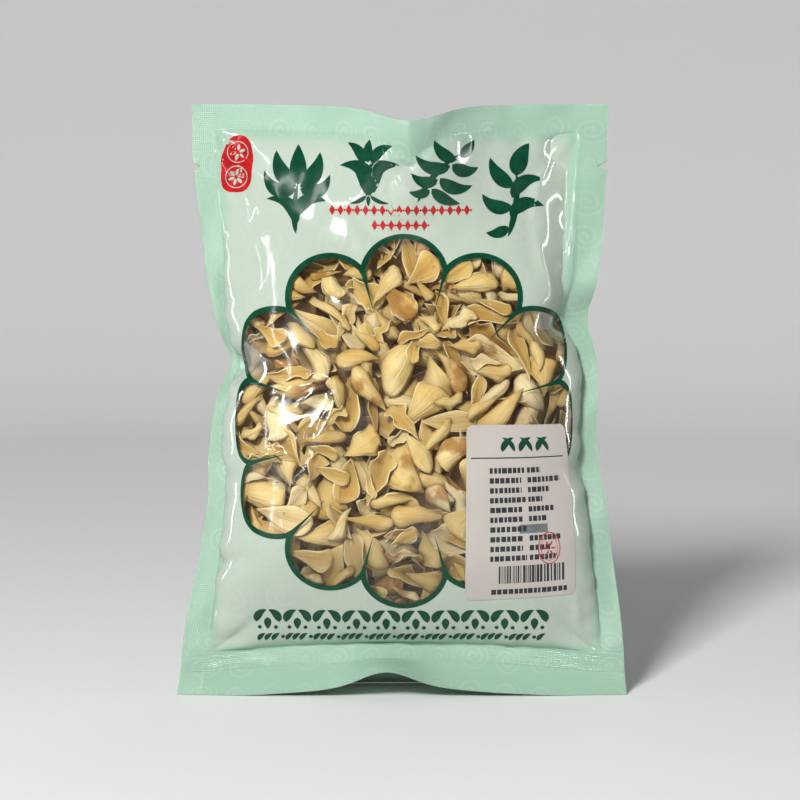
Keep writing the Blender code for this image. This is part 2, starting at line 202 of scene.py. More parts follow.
def lip_rows(x, front):
    """Depths and heights of the bottom hem at its edge, middle and seal."""
    seam = seam_bottom(x)
    lift = arch(x)
    spread = np.maximum(1.0 - (x / FOOT_HALF) ** 2, 0.0)
    band = (middle_y(x, seam) - 6.0 * lift - 1.0 * spread, seam - SEAL_BAND + 2.0 * lift)
    if front:
        edge_z = ARCH_HEIGHT * lift * ramp(88.0 - np.abs(x), 0.0, 30.0)
        edge = (FOOT_Y - 4.0 * spread - FRONT_LIP_OUT * lift, np.maximum(edge_z, 0.0) + 0.05)
        bow, rise = 1.5, 1.5
    else:
        edge = (FOOT_Y + BACK_LIP_OUT * spread, 0.05 + 0.0 * x)
        bow, rise = -1.5, 0.0
    middle = (0.5 * (band[0] + edge[0]) + bow * spread, 0.5 * (band[1] + edge[1]) + rise * lift)
    return edge, middle, band


def film_shape(a, b, front):
    """Smooth film point at column a, -2 to 2, and row b, 0 to 5, before its creases."""
    height = np.where(b < 3.0, 7.0 * b, np.where(
        b <= 4.0, BOTTOM_SEAM + (b - 3.0) * (TOP_SEAM - BOTTOM_SEAM),
        TOP_SEAM + (b - 4.0) * (HEIGHT - TOP_SEAM)))
    left, right = side("seam_left", height), side("seam_right", height)
    x = 0.5 * (left + right) + 0.5 * (right - left) * np.clip(a, -1.0, 1.0)
    x = x + (side("edge_left", height) - left) * np.clip(-1.0 - a, 0.0, 1.0)
    x = x + (side("edge_right", height) - right) * np.clip(a - 1.0, 0.0, 1.0)
    low, high = seam_bottom(x), seam_top(x)
    t = np.clip(b - 3.0, 0.0, 1.0)
    z = BOTTOM_SEAM + t * (TOP_SEAM - BOTTOM_SEAM) + (low - BOTTOM_SEAM) * (1.0 - ramp(t, 0.0, 0.2))
    z = z + (high - TOP_SEAM) * ramp(t, 0.80, 1.0)
    z = np.where(b > 4.0, high + (b - 4.0) * (edge_top(x) - high), z)
    f = np.clip((z - low) / (high - low), 0.0, 1.0)
    power = END_EXPONENT + (BODY_EXPONENT - END_EXPONENT) * ramp(f, 0.0, 0.2) * (1.0 - ramp(f, 0.48, 0.93))
    share = np.maximum(1.0 - np.clip(np.abs(a), 0.0, 1.0) ** power, 0.0) ** (1.0 / power) * fullness(f)
    y = middle_y(x, z) + (-FRONT_BULGE if front else BACK_BULGE) * share
    edge, middle, band = lip_rows(x, front)
    t = np.clip(b, 0.0, 2.0)
    weights = (0.5 * (t - 1.0) * (t - 2.0), -t * (t - 2.0), 0.5 * t * (t - 1.0))
    lip = [sum(w * row[k] for w, row in zip(weights, (edge, middle, band))) for k in (0, 1)]
    up = np.clip(b - 2.0, 0.0, 1.0)
    seam_y = middle_y(x, low)
    y = np.where(b < 3.0, lip[0] * (1.0 - up) + seam_y * up, y)
    z = np.where(b < 3.0, lip[1] * (1.0 - up) + low * up, z)
    return np.stack((x, y, z), axis=-1)


def crease(u, v, start, angle, length, width, depth):
    """One pucker that starts at a seam and fans out into the film."""
    c, s = math.cos(math.radians(angle)), math.sin(math.radians(angle))
    along = (u - start[0]) * c + (v - start[1]) * s
    off = (v - start[1]) * c - (u - start[0]) * s
    w = width * (1.0 + 1.1 * np.clip(along / length, 0.0, 1.0))
    keep = ramp(along, -4.0, 2.0) * np.clip(1.0 - along / length, 0.0, 1.0) ** 1.2
    dip = np.exp(-(np.abs(off) / w) ** 1.35)
    sides = np.exp(-((off - 2.1 * w) / (1.2 * w)) ** 2) + np.exp(-((off + 2.1 * w) / (1.2 * w)) ** 2)
    return depth * keep * (0.5 * sides - dip)


# Folds in the clear film: their lines over the flat film, height and width
FOLDS = (
    (((-77, 176), (-67, 174), (-62, 168), (-60, 161)), 0.6, 1.5),
    (((-60, 159), (-63, 156), (-66, 153), (-69, 150)), 0.5, 1.4),
    (((-60, 161), (-54, 162), (-48, 163), (-43, 165)), 0.9, 2.8),
    (((-49, 168), (-41, 168), (-35, 164), (-35, 157)), 1.1, 3.2),
    (((-35, 160), (-35, 151), (-38, 142), (-42, 134)), 1.2, 3.2),
    (((-53, 149), (-50, 154), (-46, 158), (-42, 162)), 0.8, 2.5),
    (((-63, 134), (-58, 137), (-52, 141), (-45, 146)), 0.7, 1.7),
    (((-54, 142), (-51, 138), (-48, 132), (-49, 126)), 0.9, 1.9),
    (((-44, 142), (-45, 138), (-47, 133), (-48, 127)), 0.9, 1.9),
    (((-71, 132), (-68, 129), (-62, 129), (-57, 131)), 0.9, 1.9),
    (((-49, 118), (-53, 115), (-58, 111), (-63, 106)), 0.6, 1.5),
    (((-43, 132), (-43, 127), (-47, 121), (-52, 116)), 0.7, 1.7),
    (((24, 196), (30, 188), (38, 184), (47, 186)), 0.5, 1.8),
    (((52, 176), (60, 166), (64, 155), (64, 144)), 0.6, 2.0),
    (((-6, 78), (4, 73), (14, 72), (22, 76)), 0.5, 1.9),
    (((-40, 215), (-30, 206), (-18, 203), (-6, 206)), 0.5, 1.9),
    (((-97, 27), (-90, 36), (-83, 44), (-76, 53)), 0.8, 3.2),
    (((97, 27), (90, 37), (86, 48), (84, 62)), 1.2, 2.4),
    (((-96, 284), (-88, 272), (-84, 258), (-83, 240)), 1.0, 2.2),
    (((96, 284), (86, 274), (78, 262), (74, 244)), 1.2, 2.6),
    (((74, 244), (76, 230), (80, 216), (82, 204)), 0.9, 2.6),
    (((-82, 240), (-76, 228), (-74, 216), (-78, 202)), 0.6, 1.8),
    (((-18, 276), (-10, 262), (-2, 252), (10, 246)), 0.7, 2.6),
)


def fold(u, v, points, height, width):
    """Raised fold along a smooth line through four points, fading out at its ends."""
    p = np.array(points, float)
    t = np.linspace(0.0, 1.0, 28)
    knots = np.linspace(0.0, 1.0, 4)
    line = np.stack([sum(p[i, k] * np.prod([(t - knots[j]) / (knots[i] - knots[j])
                                            for j in range(4) if j != i], axis=0) for i in range(4))
                     for k in (0, 1)], axis=1)
    away = np.full_like(u, 1e9)
    share = np.zeros_like(u)
    for (x, y), s in zip(line, np.sin(math.pi * t) ** 0.6):
        d = np.hypot(u - x, v - y)
        share = np.where(d < away, s, share)
        away = np.minimum(away, d)
    return height * share * np.exp(-(away / width) ** 1.5)


def creases(seed, front):
    """Puckers round the seams of one film: many small ones, and the large ones by name."""
    rng = random.Random(seed)
    found = []
    for sign in (-1.0, 1.0):
        v = 34.0
        while v < 280.0:
            angle = rng.uniform(-24.0, 24.0) + (180.0 if sign > 0 else 0.0)
            size = rng.uniform(0.3, 1.0)
            found.append(((sign * 99.0, v), angle, 9.0 + 22.0 * size, 1.6 + 1.6 * size, 0.25 + 0.60 * size))
            v += rng.uniform(8.0, 18.0)
    for edge, turn in ((HEM_LOW, 90.0), (HEM_HIGH, -90.0)):
        u = -88.0
        while u < 88.0:
            size = rng.uniform(0.2, 1.0)
            angle = turn + rng.uniform(-25.0, 25.0)
            found.append(((u, edge), angle, 10.0 + 24.0 * size, 1.8 + 1.8 * size, 0.2 + 0.55 * size))
            u += rng.uniform(10.0, 22.0)
    if front:
        found += [((-100.0, 170.0), 4.0, 44.0, 4.6, 3.4), ((-100.0, 71.0), 16.0, 34.0, 3.0, 2.2),
                  ((100.0, 193.0), 184.0, 46.0, 4.8, 3.8), ((100.0, 118.0), 172.0, 30.0, 4.0, 2.4),
                  ((-97.0, 285.0), -42.0, 62.0, 3.6, 1.7), ((97.0, 285.0), 224.0, 66.0, 3.8, 1.9),
                  ((-97.0, 27.0), 40.0, 50.0, 3.4, 1.8), ((97.0, 27.0), 142.0, 52.0, 3.2, 1.9),
                  ((3.0, 286.0), -112.0, 58.0, 4.2, 1.9), ((6.0, 286.0), -62.0, 64.0, 4.4, 1.8)]
    else:
        found += [((100.0, 170.0), 178.0, 40.0, 4.6, 3.0), ((-100.0, 193.0), 2.0, 42.0, 4.8, 3.2),
                  ((-97.0, 285.0), -45.0, 70.0, 4.0, 2.0), ((97.0, 285.0), 224.0, 70.0, 4.0, 2.0),
                  ((-97.0, 27.0), 42.0, 60.0, 4.0, 2.0), ((97.0, 27.0), 138.0, 60.0, 4.0, 2.0)]
    return found


def ripple(u, v, rng, count, short, long, height):
    """Low irregular bumps: a sum of seeded waves."""
    total = np.zeros_like(u)
    for _ in range(count):
        turn, wave = rng.uniform(0.0, math.pi), rng.uniform(short, long)
        k = 2.0 * math.pi / wave
        total += np.sin(k * (u * math.cos(turn) + v * math.sin(turn)) + rng.uniform(0.0, 6.28))
    return total * height / math.sqrt(count)


class Film:
    """Front or back film as a table of points and normals over the flat film."""

    def __init__(self, front):
        self.front = front
        self.nu, self.nv = (301, 409) if front else (155, 201)
        self.us = np.linspace(-FLAT_HALF, FLAT_HALF, self.nu)
        self.vs = np.linspace(0.0, FLAT_TOP, self.nv)
        rows = self.row_heights()
        dense = np.cos(np.linspace(math.pi, 0.0, 401))
        table = np.zeros((self.nv, self.nu, 3))
        for j, b in enumerate(rows):
            body = film_shape(dense, np.full_like(dense, b), front)
            run = np.r_[0.0, np.cumsum(np.linalg.norm(np.diff(body, axis=0), axis=1))]
            wanted = (np.clip(self.us, -FLAT_SEAM, FLAT_SEAM) / FLAT_SEAM + 1.0) * 0.5 * run[-1]
            a = np.interp(wanted, run, dense)
            hem = (np.abs(self.us) - FLAT_SEAM) / (FLAT_HALF - FLAT_SEAM)
            a = np.where(hem > 0.0, np.sign(self.us) * (1.0 + hem), a)
            table[j] = film_shape(a, np.full_like(a, b), front)
        if not front:
            table = table[:, ::-1]
        self.points = table
        self.find_normals()
        u, v = np.meshgrid(self.us, self.vs)
        self.points = table + self.normals * self.relief(u, v)[..., None]
        self.find_normals()

    def row_heights(self):
        """Film row for each flat height, even along the film's own length in the body."""
        b = np.linspace(3.0, 4.0, 400)
        line = film_shape(np.full_like(b, 0.35), b, True)
        run = np.r_[0.0, np.cumsum(np.linalg.norm(np.diff(line, axis=0), axis=1))]
        body = np.interp((self.vs - HEM_LOW) / (HEM_HIGH - HEM_LOW) * run[-1], run, b)
        low = np.where(self.vs < SEAL_LOW, self.vs / SEAL_LOW * 2.0,
                       2.0 + (self.vs - SEAL_LOW) / (HEM_LOW - SEAL_LOW))
        high = 4.0 + (self.vs - HEM_HIGH) / (FLAT_TOP - HEM_HIGH)
        return np.where(self.vs < HEM_LOW, low, np.where(self.vs > HEM_HIGH, high, body))

    def find_normals(self):
        du = np.gradient(self.points, axis=1)
        dv = np.gradient(self.points, axis=0)
        n = np.cross(du, dv)
        self.normals = n / np.maximum(np.linalg.norm(n, axis=2, keepdims=True), 1e-9)

    def relief(self, u, v):
        """How far the film stands out from its smooth shape."""
        body = ramp(FLAT_SEAM - np.abs(u), 0.0, 5.0) * ramp(v, HEM_LOW, HEM_LOW + 5.0)
        body = body * ramp(HEM_HIGH - v, 0.0, 5.0)
        rng = random.Random(5 if self.front else 6)
        total = ripple(u, v, rng, 10, 34.0, 80.0, 0.50) + ripple(u, v, rng, 24, 12.0, 26.0, 0.075)
        for made in creases(17 if self.front else 23, self.front):
            total = total + crease(u, v, *made)
        if self.front:
            for points, height, width in FOLDS:
                total = total + fold(u, v, points, height, width)
            side_plane = ramp(u, 73.0, 96.0) * ramp(v, 182.0, 222.0)
            total = total - 6.0 * side_plane - 0.9 * bell(u, 72.0, 6.0) * ramp(v, 200.0, 236.0)
        total = total * body
        sign = 1.0 if self.front else -1.0
        seen = u * sign
        hem = random.Random(9)
        wave = ripple(seen, v, hem, 8, 26.0, 60.0, 0.75)
        sides = ramp(np.abs(u), FLAT_SEAM - 1.0, FLAT_HALF)
        wave = wave * np.maximum(sides, ramp(v, HEM_HIGH, FLAT_TOP)) * ramp(v, 4.0, 30.0)
        return total + sign * wave

    def at(self, u, v, lift):
        """World points, in metres, at a height over the film."""
        u, v = np.asarray(u, float), np.asarray(v, float)
        i = np.clip((u + FLAT_HALF) / (2.0 * FLAT_HALF) * (self.nu - 1), 0.0, self.nu - 1.0001)
        j = np.clip(v / FLAT_TOP * (self.nv - 1), 0.0, self.nv - 1.0001)
        i0, j0 = i.astype(int), j.astype(int)
        fi, fj = (i - i0)[:, None], (j - j0)[:, None]

        def read(table):
            low = table[j0, i0] * (1.0 - fi) + table[j0, i0 + 1] * fi
            high = table[j0 + 1, i0] * (1.0 - fi) + table[j0 + 1, i0 + 1] * fi
            return low * (1.0 - fj) + high * fj

        world = read(self.points) + read(self.normals) * np.asarray(lift)[:, None]
        world[:, 1] -= MIDDLE_DEPTH
        return world * MM

    def seen(self, u, v):
        """Millimetres across and up of flat places, as seen from the front."""
        world = self.at(u, v, np.zeros_like(u)) / MM
        return world[:, 0], world[:, 2]

    def flat_at(self, x, z):
        """Flat places of points given as seen from the front."""
        x, z = np.asarray(x, float), np.asarray(z, float)
        u, v = np.clip(x, -98.0, 98.0), np.clip(z, 2.0, 298.0)
        for _ in range(24):
            here_x, here_z = self.seen(u, v)
            u = np.clip(u + 0.7 * (x - here_x), -FLAT_REACH, FLAT_REACH)
            v = np.clip(v + 0.8 * (z - here_z), 1.0, 299.0)
        return u, v

    def flat_spot(self, x, z):
        u, v = self.flat_at(np.array([x]), np.array([z]))
        return float(u[0]), float(v[0])


FRONT = Film(True)
BACK = Film(False)


# Shader building

class Socket:
    """A node's output that takes part in Python arithmetic."""

    def __init__(self, finish, socket):
        self.finish = finish
        self.socket = socket

    def math(self, operation, *others):
        return self.finish.node("ShaderNodeMath", {"operation": operation}, {
            i: value for i, value in enumerate((self, *others))})

    def __add__(self, other):
        return self.math("ADD", other)

    __radd__ = __add__

    def __sub__(self, other):
        return self.math("SUBTRACT", other)

    def __rsub__(self, other):
        return self.finish.node("ShaderNodeMath", {"operation": "SUBTRACT"}, {0: other, 1: self})

    def __mul__(self, other):
        return self.math("MULTIPLY", other)

    __rmul__ = __mul__

    def __abs__(self):
        return self.math("ABSOLUTE")

    def __pow__(self, other):
        return self.math("POWER", other)

    def sine(self):
        return self.math("SINE")

    def at_least(self, other):
        return self.math("MAXIMUM", other)

    def at_most(self, other):
        return self.math("MINIMUM", other)

    def between(self, low, high):
        """0 below low, 1 above high, smooth between them."""
        return self.finish.node("ShaderNodeMapRange", {"interpolation_type": "SMOOTHSTEP"}, {
            "Value": self, "From Min": low, "From Max": high})


class Finish:
    """One material, built node by node."""

    def __init__(self, name):
        self.material = bpy.data.materials.new(name)
        self.material.use_nodes = True
        self.tree = self.material.node_tree
        self.tree.nodes.clear()

    def node(self, kind, settings=None, values=None, out=0):
        """Add a node: its settings first, then the values or links of its sockets."""
        made = self.tree.nodes.new(kind)
        for key, value in (settings or {}).items():
            setattr(made, key, value)
        for key, value in (values or {}).items():
            if isinstance(value, Socket):
                self.tree.links.new(value.socket, made.inputs[key])
            else:
                made.inputs[key].default_value = value
        return Socket(self, made.outputs[out])

    def blend(self, share, first, second):
        """Colour between two colours."""
        made = self.tree.nodes.new("ShaderNodeMix")
        made.data_type = "RGBA"
        for index, value in ((0, share), (6, first), (7, second)):
            if isinstance(value, Socket):
                self.tree.links.new(value.socket, made.inputs[index])
            elif index == 0:
                made.inputs[index].default_value = value
            else:
                made.inputs[index].default_value = (*value[:3], 1.0)
        return Socket(self, made.outputs[2])

    def split(self, vector):
        """The three parts of a vector."""
        apart = self.node("ShaderNodeSeparateXYZ", None, {0: vector}).socket.node
        return [Socket(self, part) for part in apart.outputs]

    def flat(self):
        """The flat film's millimetres across and up, from the piece's own UV map."""
        place = self.node("ShaderNodeUVMap", {"uv_map": "flat"})
        across, up, _ = self.split(place)
        return place, (across - 0.5) * FLAT_UNIT, up * FLAT_UNIT

    def body(self):
        """The piece's own coordinates in metres."""
        return self.node("ShaderNodeTexCoord", None, None, 3)

    def attribute(self, name):
        return self.node("ShaderNodeAttribute", {"attribute_name": name}, None, 2)

    def stretch(self, vector, scale):
        return self.node("ShaderNodeMapping", None, {"Vector": vector, "Scale": scale})

    def noise(self, vector, scale, detail=2.0, roughness=0.5):
        return self.node("ShaderNodeTexNoise", None, {
            "Vector": vector, "Scale": scale, "Detail": detail, "Roughness": roughness})

    def bump(self, height, strength, distance, normal=None):
        values = {"Height": height, "Strength": strength, "Distance": distance}
        if normal is not None:
            values["Normal"] = normal
        return self.node("ShaderNodeBump", None, values)

    def surface(self, values):
        return self.node("ShaderNodeBsdfPrincipled", None, values)

    def done(self, shader):
        made = self.tree.nodes.new("ShaderNodeOutputMaterial")
        self.tree.links.new(shader.socket, made.inputs[0])
        return self.material


def film_bump(f, place, across, up):
    """Normal of the crimped hems and of crinkles that run up the film, and where the hems are."""
    hems = abs(across).between(FLAT_SEAM - 0.4, FLAT_SEAM + 0.4)
    hems = hems.at_least(up.between(HEM_HIGH - 0.4, HEM_HIGH + 0.4))
    seal = up.between(SEAL_LOW - 0.3, SEAL_LOW + 0.3) * (1.0 - up.between(HEM_LOW - 0.3, HEM_LOW + 0.3))
    knurl = ((across + up) * (math.pi / 0.9)).sine() * ((across - up) * (math.pi / 0.9)).sine()
    drawn = f.node("ShaderNodeMapping", None, {
        "Vector": place, "Rotation": (0.0, 0.0, 0.12), "Scale": (1.0, 0.42, 1.0)})
    ridges = 1.0 - abs(f.noise(drawn, 9.0, 1.0, 0.4) - 0.5) * 2.0
    ridges = ridges ** 9.0
    soft = f.noise(place, 15.0, 2.0, 0.5)
    crimp = f.noise(f.stretch(place, (0.25, 2.2, 1.0)), 60.0, 2.0, 0.6) * seal
    low = f.bump(ridges * 0.4 + soft + crimp * 2.0, 0.5, 0.0003)
    return f.bump(knurl * (hems.at_least(seal)), 0.5, 0.00010, low), hems


def cloud_rings(f, place, cell, pitch, spread):
    """Faint spiral clouds set on a loose lattice."""
    bent = f.node("ShaderNodeVectorMath", {"operation": "ADD"}, {
        0: place, 1: f.node("ShaderNodeVectorMath", {"operation": "SCALE"}, {
            0: f.node("ShaderNodeTexNoise", None, {"Vector": place, "Scale": 24.0}, 1), "Scale": 0.011})})
    spots = f.node("ShaderNodeTexVoronoi", {"voronoi_dimensions": "2D"}, {
        "Vector": bent, "Scale": FLAT_UNIT / cell, "Randomness": spread}).socket.node
    away = Socket(f, spots.outputs["Distance"]) * cell
    arm = f.node("ShaderNodeVectorMath", {"operation": "SUBTRACT"}, {
        0: bent, 1: Socket(f, spots.outputs["Position"])})
    east, north, _ = f.split(arm)
    turn = north.math("ARCTAN2", east)
    rings = (away * (2.0 * math.pi / pitch) - turn).sine().between(0.05, 0.85)
    return rings * (1.0 - away.between(cell * 0.38, cell * 0.45))


def printed_film(name, hem_colour, panel_colour):
    """Glossy printed film with faint cloud rings and crimped hems."""
    f = Finish(name)
    place, across, up = f.flat()
    normal, hems = film_bump(f, place, across, up)
    inside = abs(across).between(FLAT_SEAM, FLAT_SEAM - 9.0) * up.between(HEM_LOW, HEM_LOW + 9.0)
    inside = inside * up.between(HEM_HIGH, HEM_HIGH - 9.0)
    small = cloud_rings(f, place, 17.0, 3.1, 0.10)
    large = cloud_rings(f, place, 26.0, 4.6, 0.55)
    tint = f.blend(inside, hem_colour, panel_colour)
    pale = tuple(min(c + more, 1.0) for c, more in zip(panel_colour, (0.14, 0.10, 0.12)))
    patchy = f.noise(place, 8.0, 1.0).between(0.3, 0.65)
    clouds = (small * (1.0 - inside)) * (patchy * 0.15 + 0.05) + (large * inside) * (patchy * 0.14 + 0.02)
    tint = f.blend(clouds, tint, pale)
    return f.done(f.surface({
        "Base Color": tint, "Roughness": f.noise(place, 40.0).between(0.2, 0.8) * 0.05 + 0.07 + hems * 0.12,
        "Normal": normal}))


def ink(name, colour, roughness=0.12):
    """Printing ink under the film's gloss, a little uneven."""
    f = Finish(name)
    place, across, up = f.flat()
    normal, _ = film_bump(f, place, across, up)
    deep = tuple(c * 0.72 for c in colour)
    tint = f.blend(f.noise(place, 60.0, 3.0).between(0.35, 0.65), deep, colour)
    return f.done(f.surface({
        "Base Color": tint, "Roughness": roughness, "Specular IOR Level": 0.3, "Normal": normal}))


def clear_film(name):
    """Clear glossy film: see-through, with the sheen of plastic that steepens at the sides."""
    f = Finish(name)
    place, across, up = f.flat()
    normal, _ = film_bump(f, place, across, up)
    sheen = f.node("ShaderNodeFresnel", None, {"IOR": 1.45, "Normal": normal})
    veil = f.noise(place, 9.0, 3.0).between(0.5, 0.8) * 0.03
    gloss = f.surface({
        "Base Color": (0.96, 0.98, 0.97, 1.0), "Metallic": 1.0, "Roughness": 0.11, "Normal": normal})
    open_air = f.node("ShaderNodeBsdfTransparent", None, {0: (0.995, 0.998, 0.995, 1.0)})
    mixed = f.node("ShaderNodeMixShader", None, {0: sheen * 0.6 + veil, 1: open_air, 2: gloss})
    f.material.surface_render_method = "BLENDED"
    return f.done(mixed)


def label_paper(name, colour):
    """Smooth coated paper with a slight tooth."""
    f = Finish(name)
    place, _, _ = f.flat()
    grain = f.noise(place, 420.0, 3.0)
    soft = f.noise(place, 16.0, 3.0)
    shade = tuple(c * 0.95 for c in colour)
    tint = f.blend(grain.between(0.3, 0.7) * 0.5, colour, shade)
    normal = f.bump(soft, 0.3, 0.0009, f.bump(grain, 0.12, 0.0001))
    return f.done(f.surface({"Base Color": tint, "Roughness": 0.42, "Normal": normal, "Coat Weight": 0.1}))


def dried_scale(name, cream, tan, brown):
    """Dried bulb scale: waxy cream with tan ends, lengthwise ribs and pale rims that are partly painted
    highlight; painted shade in its hollow and deep in the heap, painted highlight on its outer face.
    """
    f = Finish(name)
    place = f.node("ShaderNodeUVMap", {"uv_map": "flat"})
    along, across = ((part - 0.5) * 2.0 for part in f.split(place)[:2])
    tone, spot, deep = f.attribute("tone"), f.attribute("spot"), f.attribute("deep")
    body = f.body()
    hollow = f.attribute("hollow")
    mottle = f.noise(body, 80.0, 3.0, 0.55)
    fine = f.noise(body, 620.0, 3.0, 0.6)
    middle = (1.0 - across * across) * (1.0 - along * along)
    # Tan from mottle and tone, with painted shade towards the middle of the hollow side
    tan_and_hollow_shade = (mottle.between(0.35, 0.7) * 0.35 + tone * 0.55 + hollow * middle * 0.45).at_most(1.0)
    tint = f.blend(tan_and_hollow_shade, cream, tan)
    tint = f.blend(tone.between(0.22, 0.0) * 0.5, tint, (0.90, 0.80, 0.56))
    pale = (0.95, 0.83, 0.51)
    # Painted highlight: a paler middle on the outer face
    tint = f.blend((1.0 - hollow) * middle.between(0.3, 0.9) * mottle.between(0.7, 0.4) * 0.40, tint, pale)
    golden = (along + mottle - 0.5).between(-0.9, 0.1) * (1.0 - along.between(0.1, 0.9))
    tint = f.blend(golden * tone * 0.65, tint, (0.68, 0.40, 0.085))
    ends = (abs(along) + (mottle - 0.5) * 0.35).between(0.74, 1.02)
    base_end = (0.0 - along + (mottle - 0.5) * 0.4).between(0.55, 1.0)
    tint = f.blend((ends * 0.3 + base_end * 0.4).at_most(1.0), tint, brown)
    edge = abs(across).between(0.84, 0.97) * mottle.between(0.50, 0.62)
    tint = f.blend(edge * 0.6, tint, brown)
    # Pale rims: the thin edges' own paler colour, partly painted highlight
    rim = abs(across).at_least(along).between(0.90, 0.99)
    tint = f.blend(rim * 0.75, tint, pale)
    burnt = (mottle + spot * 0.5).between(0.86, 1.02)
    tint = f.blend(burnt * 0.8, tint, (0.36, 0.14, 0.02))
    # Painted shade: darker brown the deeper a point lies behind the film
    tint = f.blend(deep * 0.86, tint, (0.17, 0.088, 0.028))
    lines = f.noise(f.stretch(place, (1.6, 24.0, 1.0)), 1.0, 3.0, 0.6)
    tint = f.blend(lines.between(0.42, 0.72) * 0.38, tint, tan)
    pleats = f.noise(f.stretch(place, (1.3, 9.0, 1.0)), 1.0, 1.0, 0.5)
    ribs = f.bump(lines, 0.5, 0.0009, f.bump(pleats + mottle * 0.5, 0.5, 0.0016))
    normal = f.bump(fine, 0.2, 0.00012, ribs)
    return f.done(f.surface({
        "Base Color": tint, "Roughness": fine * 0.2 + 0.36, "Normal": normal}))


def heap_core(name, colour):
    """Shadowed inner scales: brown, broken by ridges, with a faint glow for the light that scales pass on."""
    f = Finish(name)
    body = f.body()
    broad = f.node("ShaderNodeTexVoronoi", None, {"Vector": body, "Scale": 62.0})
    fine = f.noise(body, 240.0, 4.0)
    light = tuple(min(c * 1.5, 1.0) for c in colour)
    tint = f.blend(broad.between(0.1, 0.8), light, colour)
    normal = f.bump(broad, 1.0, 0.006, f.bump(fine, 0.4, 0.0006))
    return f.done(f.surface({
        "Base Color": tint, "Roughness": 0.6, "Normal": normal,
        "Emission Color": (0.12, 0.062, 0.024, 1.0), "Emission Strength": 0.4}))


# Meshes

def flat_sheet(width_from, width_to, low, high, columns, rows):
    """Flat grid in millimetres: across, up and 0."""
    bm = bmesh.new()
    bmesh.ops.create_grid(bm, x_segments=columns, y_segments=rows, size=0.5)
    bmesh.ops.translate(bm, verts=bm.verts, vec=(0.5, 0.5, 0.0))
    bmesh.ops.scale(bm, vec=(width_to - width_from, high - low, 1.0), verts=bm.verts)
    bmesh.ops.translate(bm, verts=bm.verts, vec=(width_from, low, 0.0))
    return bm


def give_thickness(bm, thickness):
    """Close a flat sheet into a slab that rises by its thickness."""
    grown = bmesh.ops.extrude_face_region(bm, geom=bm.faces[:], use_keep_orig=True)
    moved = [g for g in grown["geom"] if isinstance(g, bmesh.types.BMVert)]
    bmesh.ops.translate(bm, verts=moved, vec=(0.0, 0.0, thickness))
    bmesh.ops.recalc_face_normals(bm, faces=bm.faces)


def petal_radius(angle, tip, cusp, inset=0.0):
    """Radius of the petal-edged outline at an angle, with one petal's tip straight up."""
    step = 2.0 * math.pi / PETALS
    phi = (angle - math.pi / 2 + step / 2) % step - step / 2
    far, half = cusp * math.cos(step / 2), cusp * math.sin(step / 2)
    centre = (tip ** 2 - far ** 2 - half ** 2) / (2.0 * (tip - far))
    inner = (tip - centre - inset) ** 2 - (centre * np.sin(phi)) ** 2
    return centre * np.cos(phi) + np.sqrt(np.maximum(inner, 0.0))


def finished_mesh(bm, name):
    """Mesh of a bmesh, which is freed."""
    mesh = bpy.data.meshes.new(name)
    bm.to_mesh(mesh)
    bm.free()
    return mesh


def mesh_places(mesh):
    """Vertex places, one row each."""
    places = np.zeros(len(mesh.vertices) * 3)
    mesh.vertices.foreach_get("co", places)
    return places.reshape(-1, 3)


def set_flat_uv(mesh, uv):
    """UV map from one pair for each vertex."""
    corner = np.zeros(len(mesh.loops), int)
    mesh.loops.foreach_get("vertex_index", corner)
    mesh.uv_layers.new(name="flat").data.foreach_set("uv", uv[corner].ravel())


def linked(name, data):
    """Object of a mesh, light or camera, in the scene."""
    piece = bpy.data.objects.new(name, data)
    bpy.context.scene.collection.objects.link(piece)
    return piece


def lay_on(bm, film, lift, name, finish, replaced=(), place=None):
    """Bend a flat mesh onto a film and make its piece."""
    mesh = finished_mesh(bm, name)
    flat = mesh_places(mesh)
    if place is not None:
        flat[:, 0], flat[:, 1] = film.flat_at(*place(flat[:, 0], flat[:, 1]))
    set_flat_uv(mesh, np.stack((flat[:, 0] / FLAT_UNIT + 0.5, flat[:, 1] / FLAT_UNIT), axis=1))
    mesh.vertices.foreach_set("co", film.at(flat[:, 0], flat[:, 1], flat[:, 2] + lift).ravel())
    mesh.materials.append(finish)
    mesh.shade_smooth()
    mesh.set_sharp_from_angle(angle=math.radians(60.0))
    mesh.update()
    piece = linked(name, mesh)
    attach(piece, "root")
    if replaced:
        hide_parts(*replaced)
    return piece


def notch(bm):
    """Tear notches: the side hems drawn in at one height."""
    height, half, share = NOTCH
    for vert in bm.verts:
        over = abs(vert.co.x) - FLAT_SEAM
        if over > 0.0:
            pull = max(1.0 - abs(vert.co.y - height) / half, 0.0) * share
            vert.co.x = math.copysign(FLAT_SEAM + over * (1.0 - pull), vert.co.x)


def print_to_front(p, q):
    """Where the flat print of the opening is seen from the front: the film turns away at both sides."""
    x = np.interp(np.abs(p), PRINT_ACROSS, SEEN_ACROSS)
    return OPENING_AT[0] + np.sign(p) * x, OPENING_AT[1] + OPENING_SQUEEZE * q


def front_to_print(x, z):
    """The other way round, and past the opening too."""
    p = np.interp(np.abs(x - OPENING_AT[0]), (*SEEN_ACROSS, 90.0), (*PRINT_ACROSS, 130.0))
    return np.sign(x - OPENING_AT[0]) * p, (z - OPENING_AT[1]) / OPENING_SQUEEZE


def inside_opening(bm, settings, reach):
    """Faces of the flat film inside the petal outline."""
    tip, cusp = settings.petal_tip / MM, settings.petal_cusp / MM
    faces = list(bm.faces)
    spots = np.array([f.calc_center_median()[:2] for f in faces])
    p, q = front_to_print(*FRONT.seen(spots[:, 0], spots[:, 1]))
    inside = np.hypot(p, q) < petal_radius(np.arctan2(q, p), tip, cusp) - reach
    return [f for f, keep in zip(faces, inside) if keep]


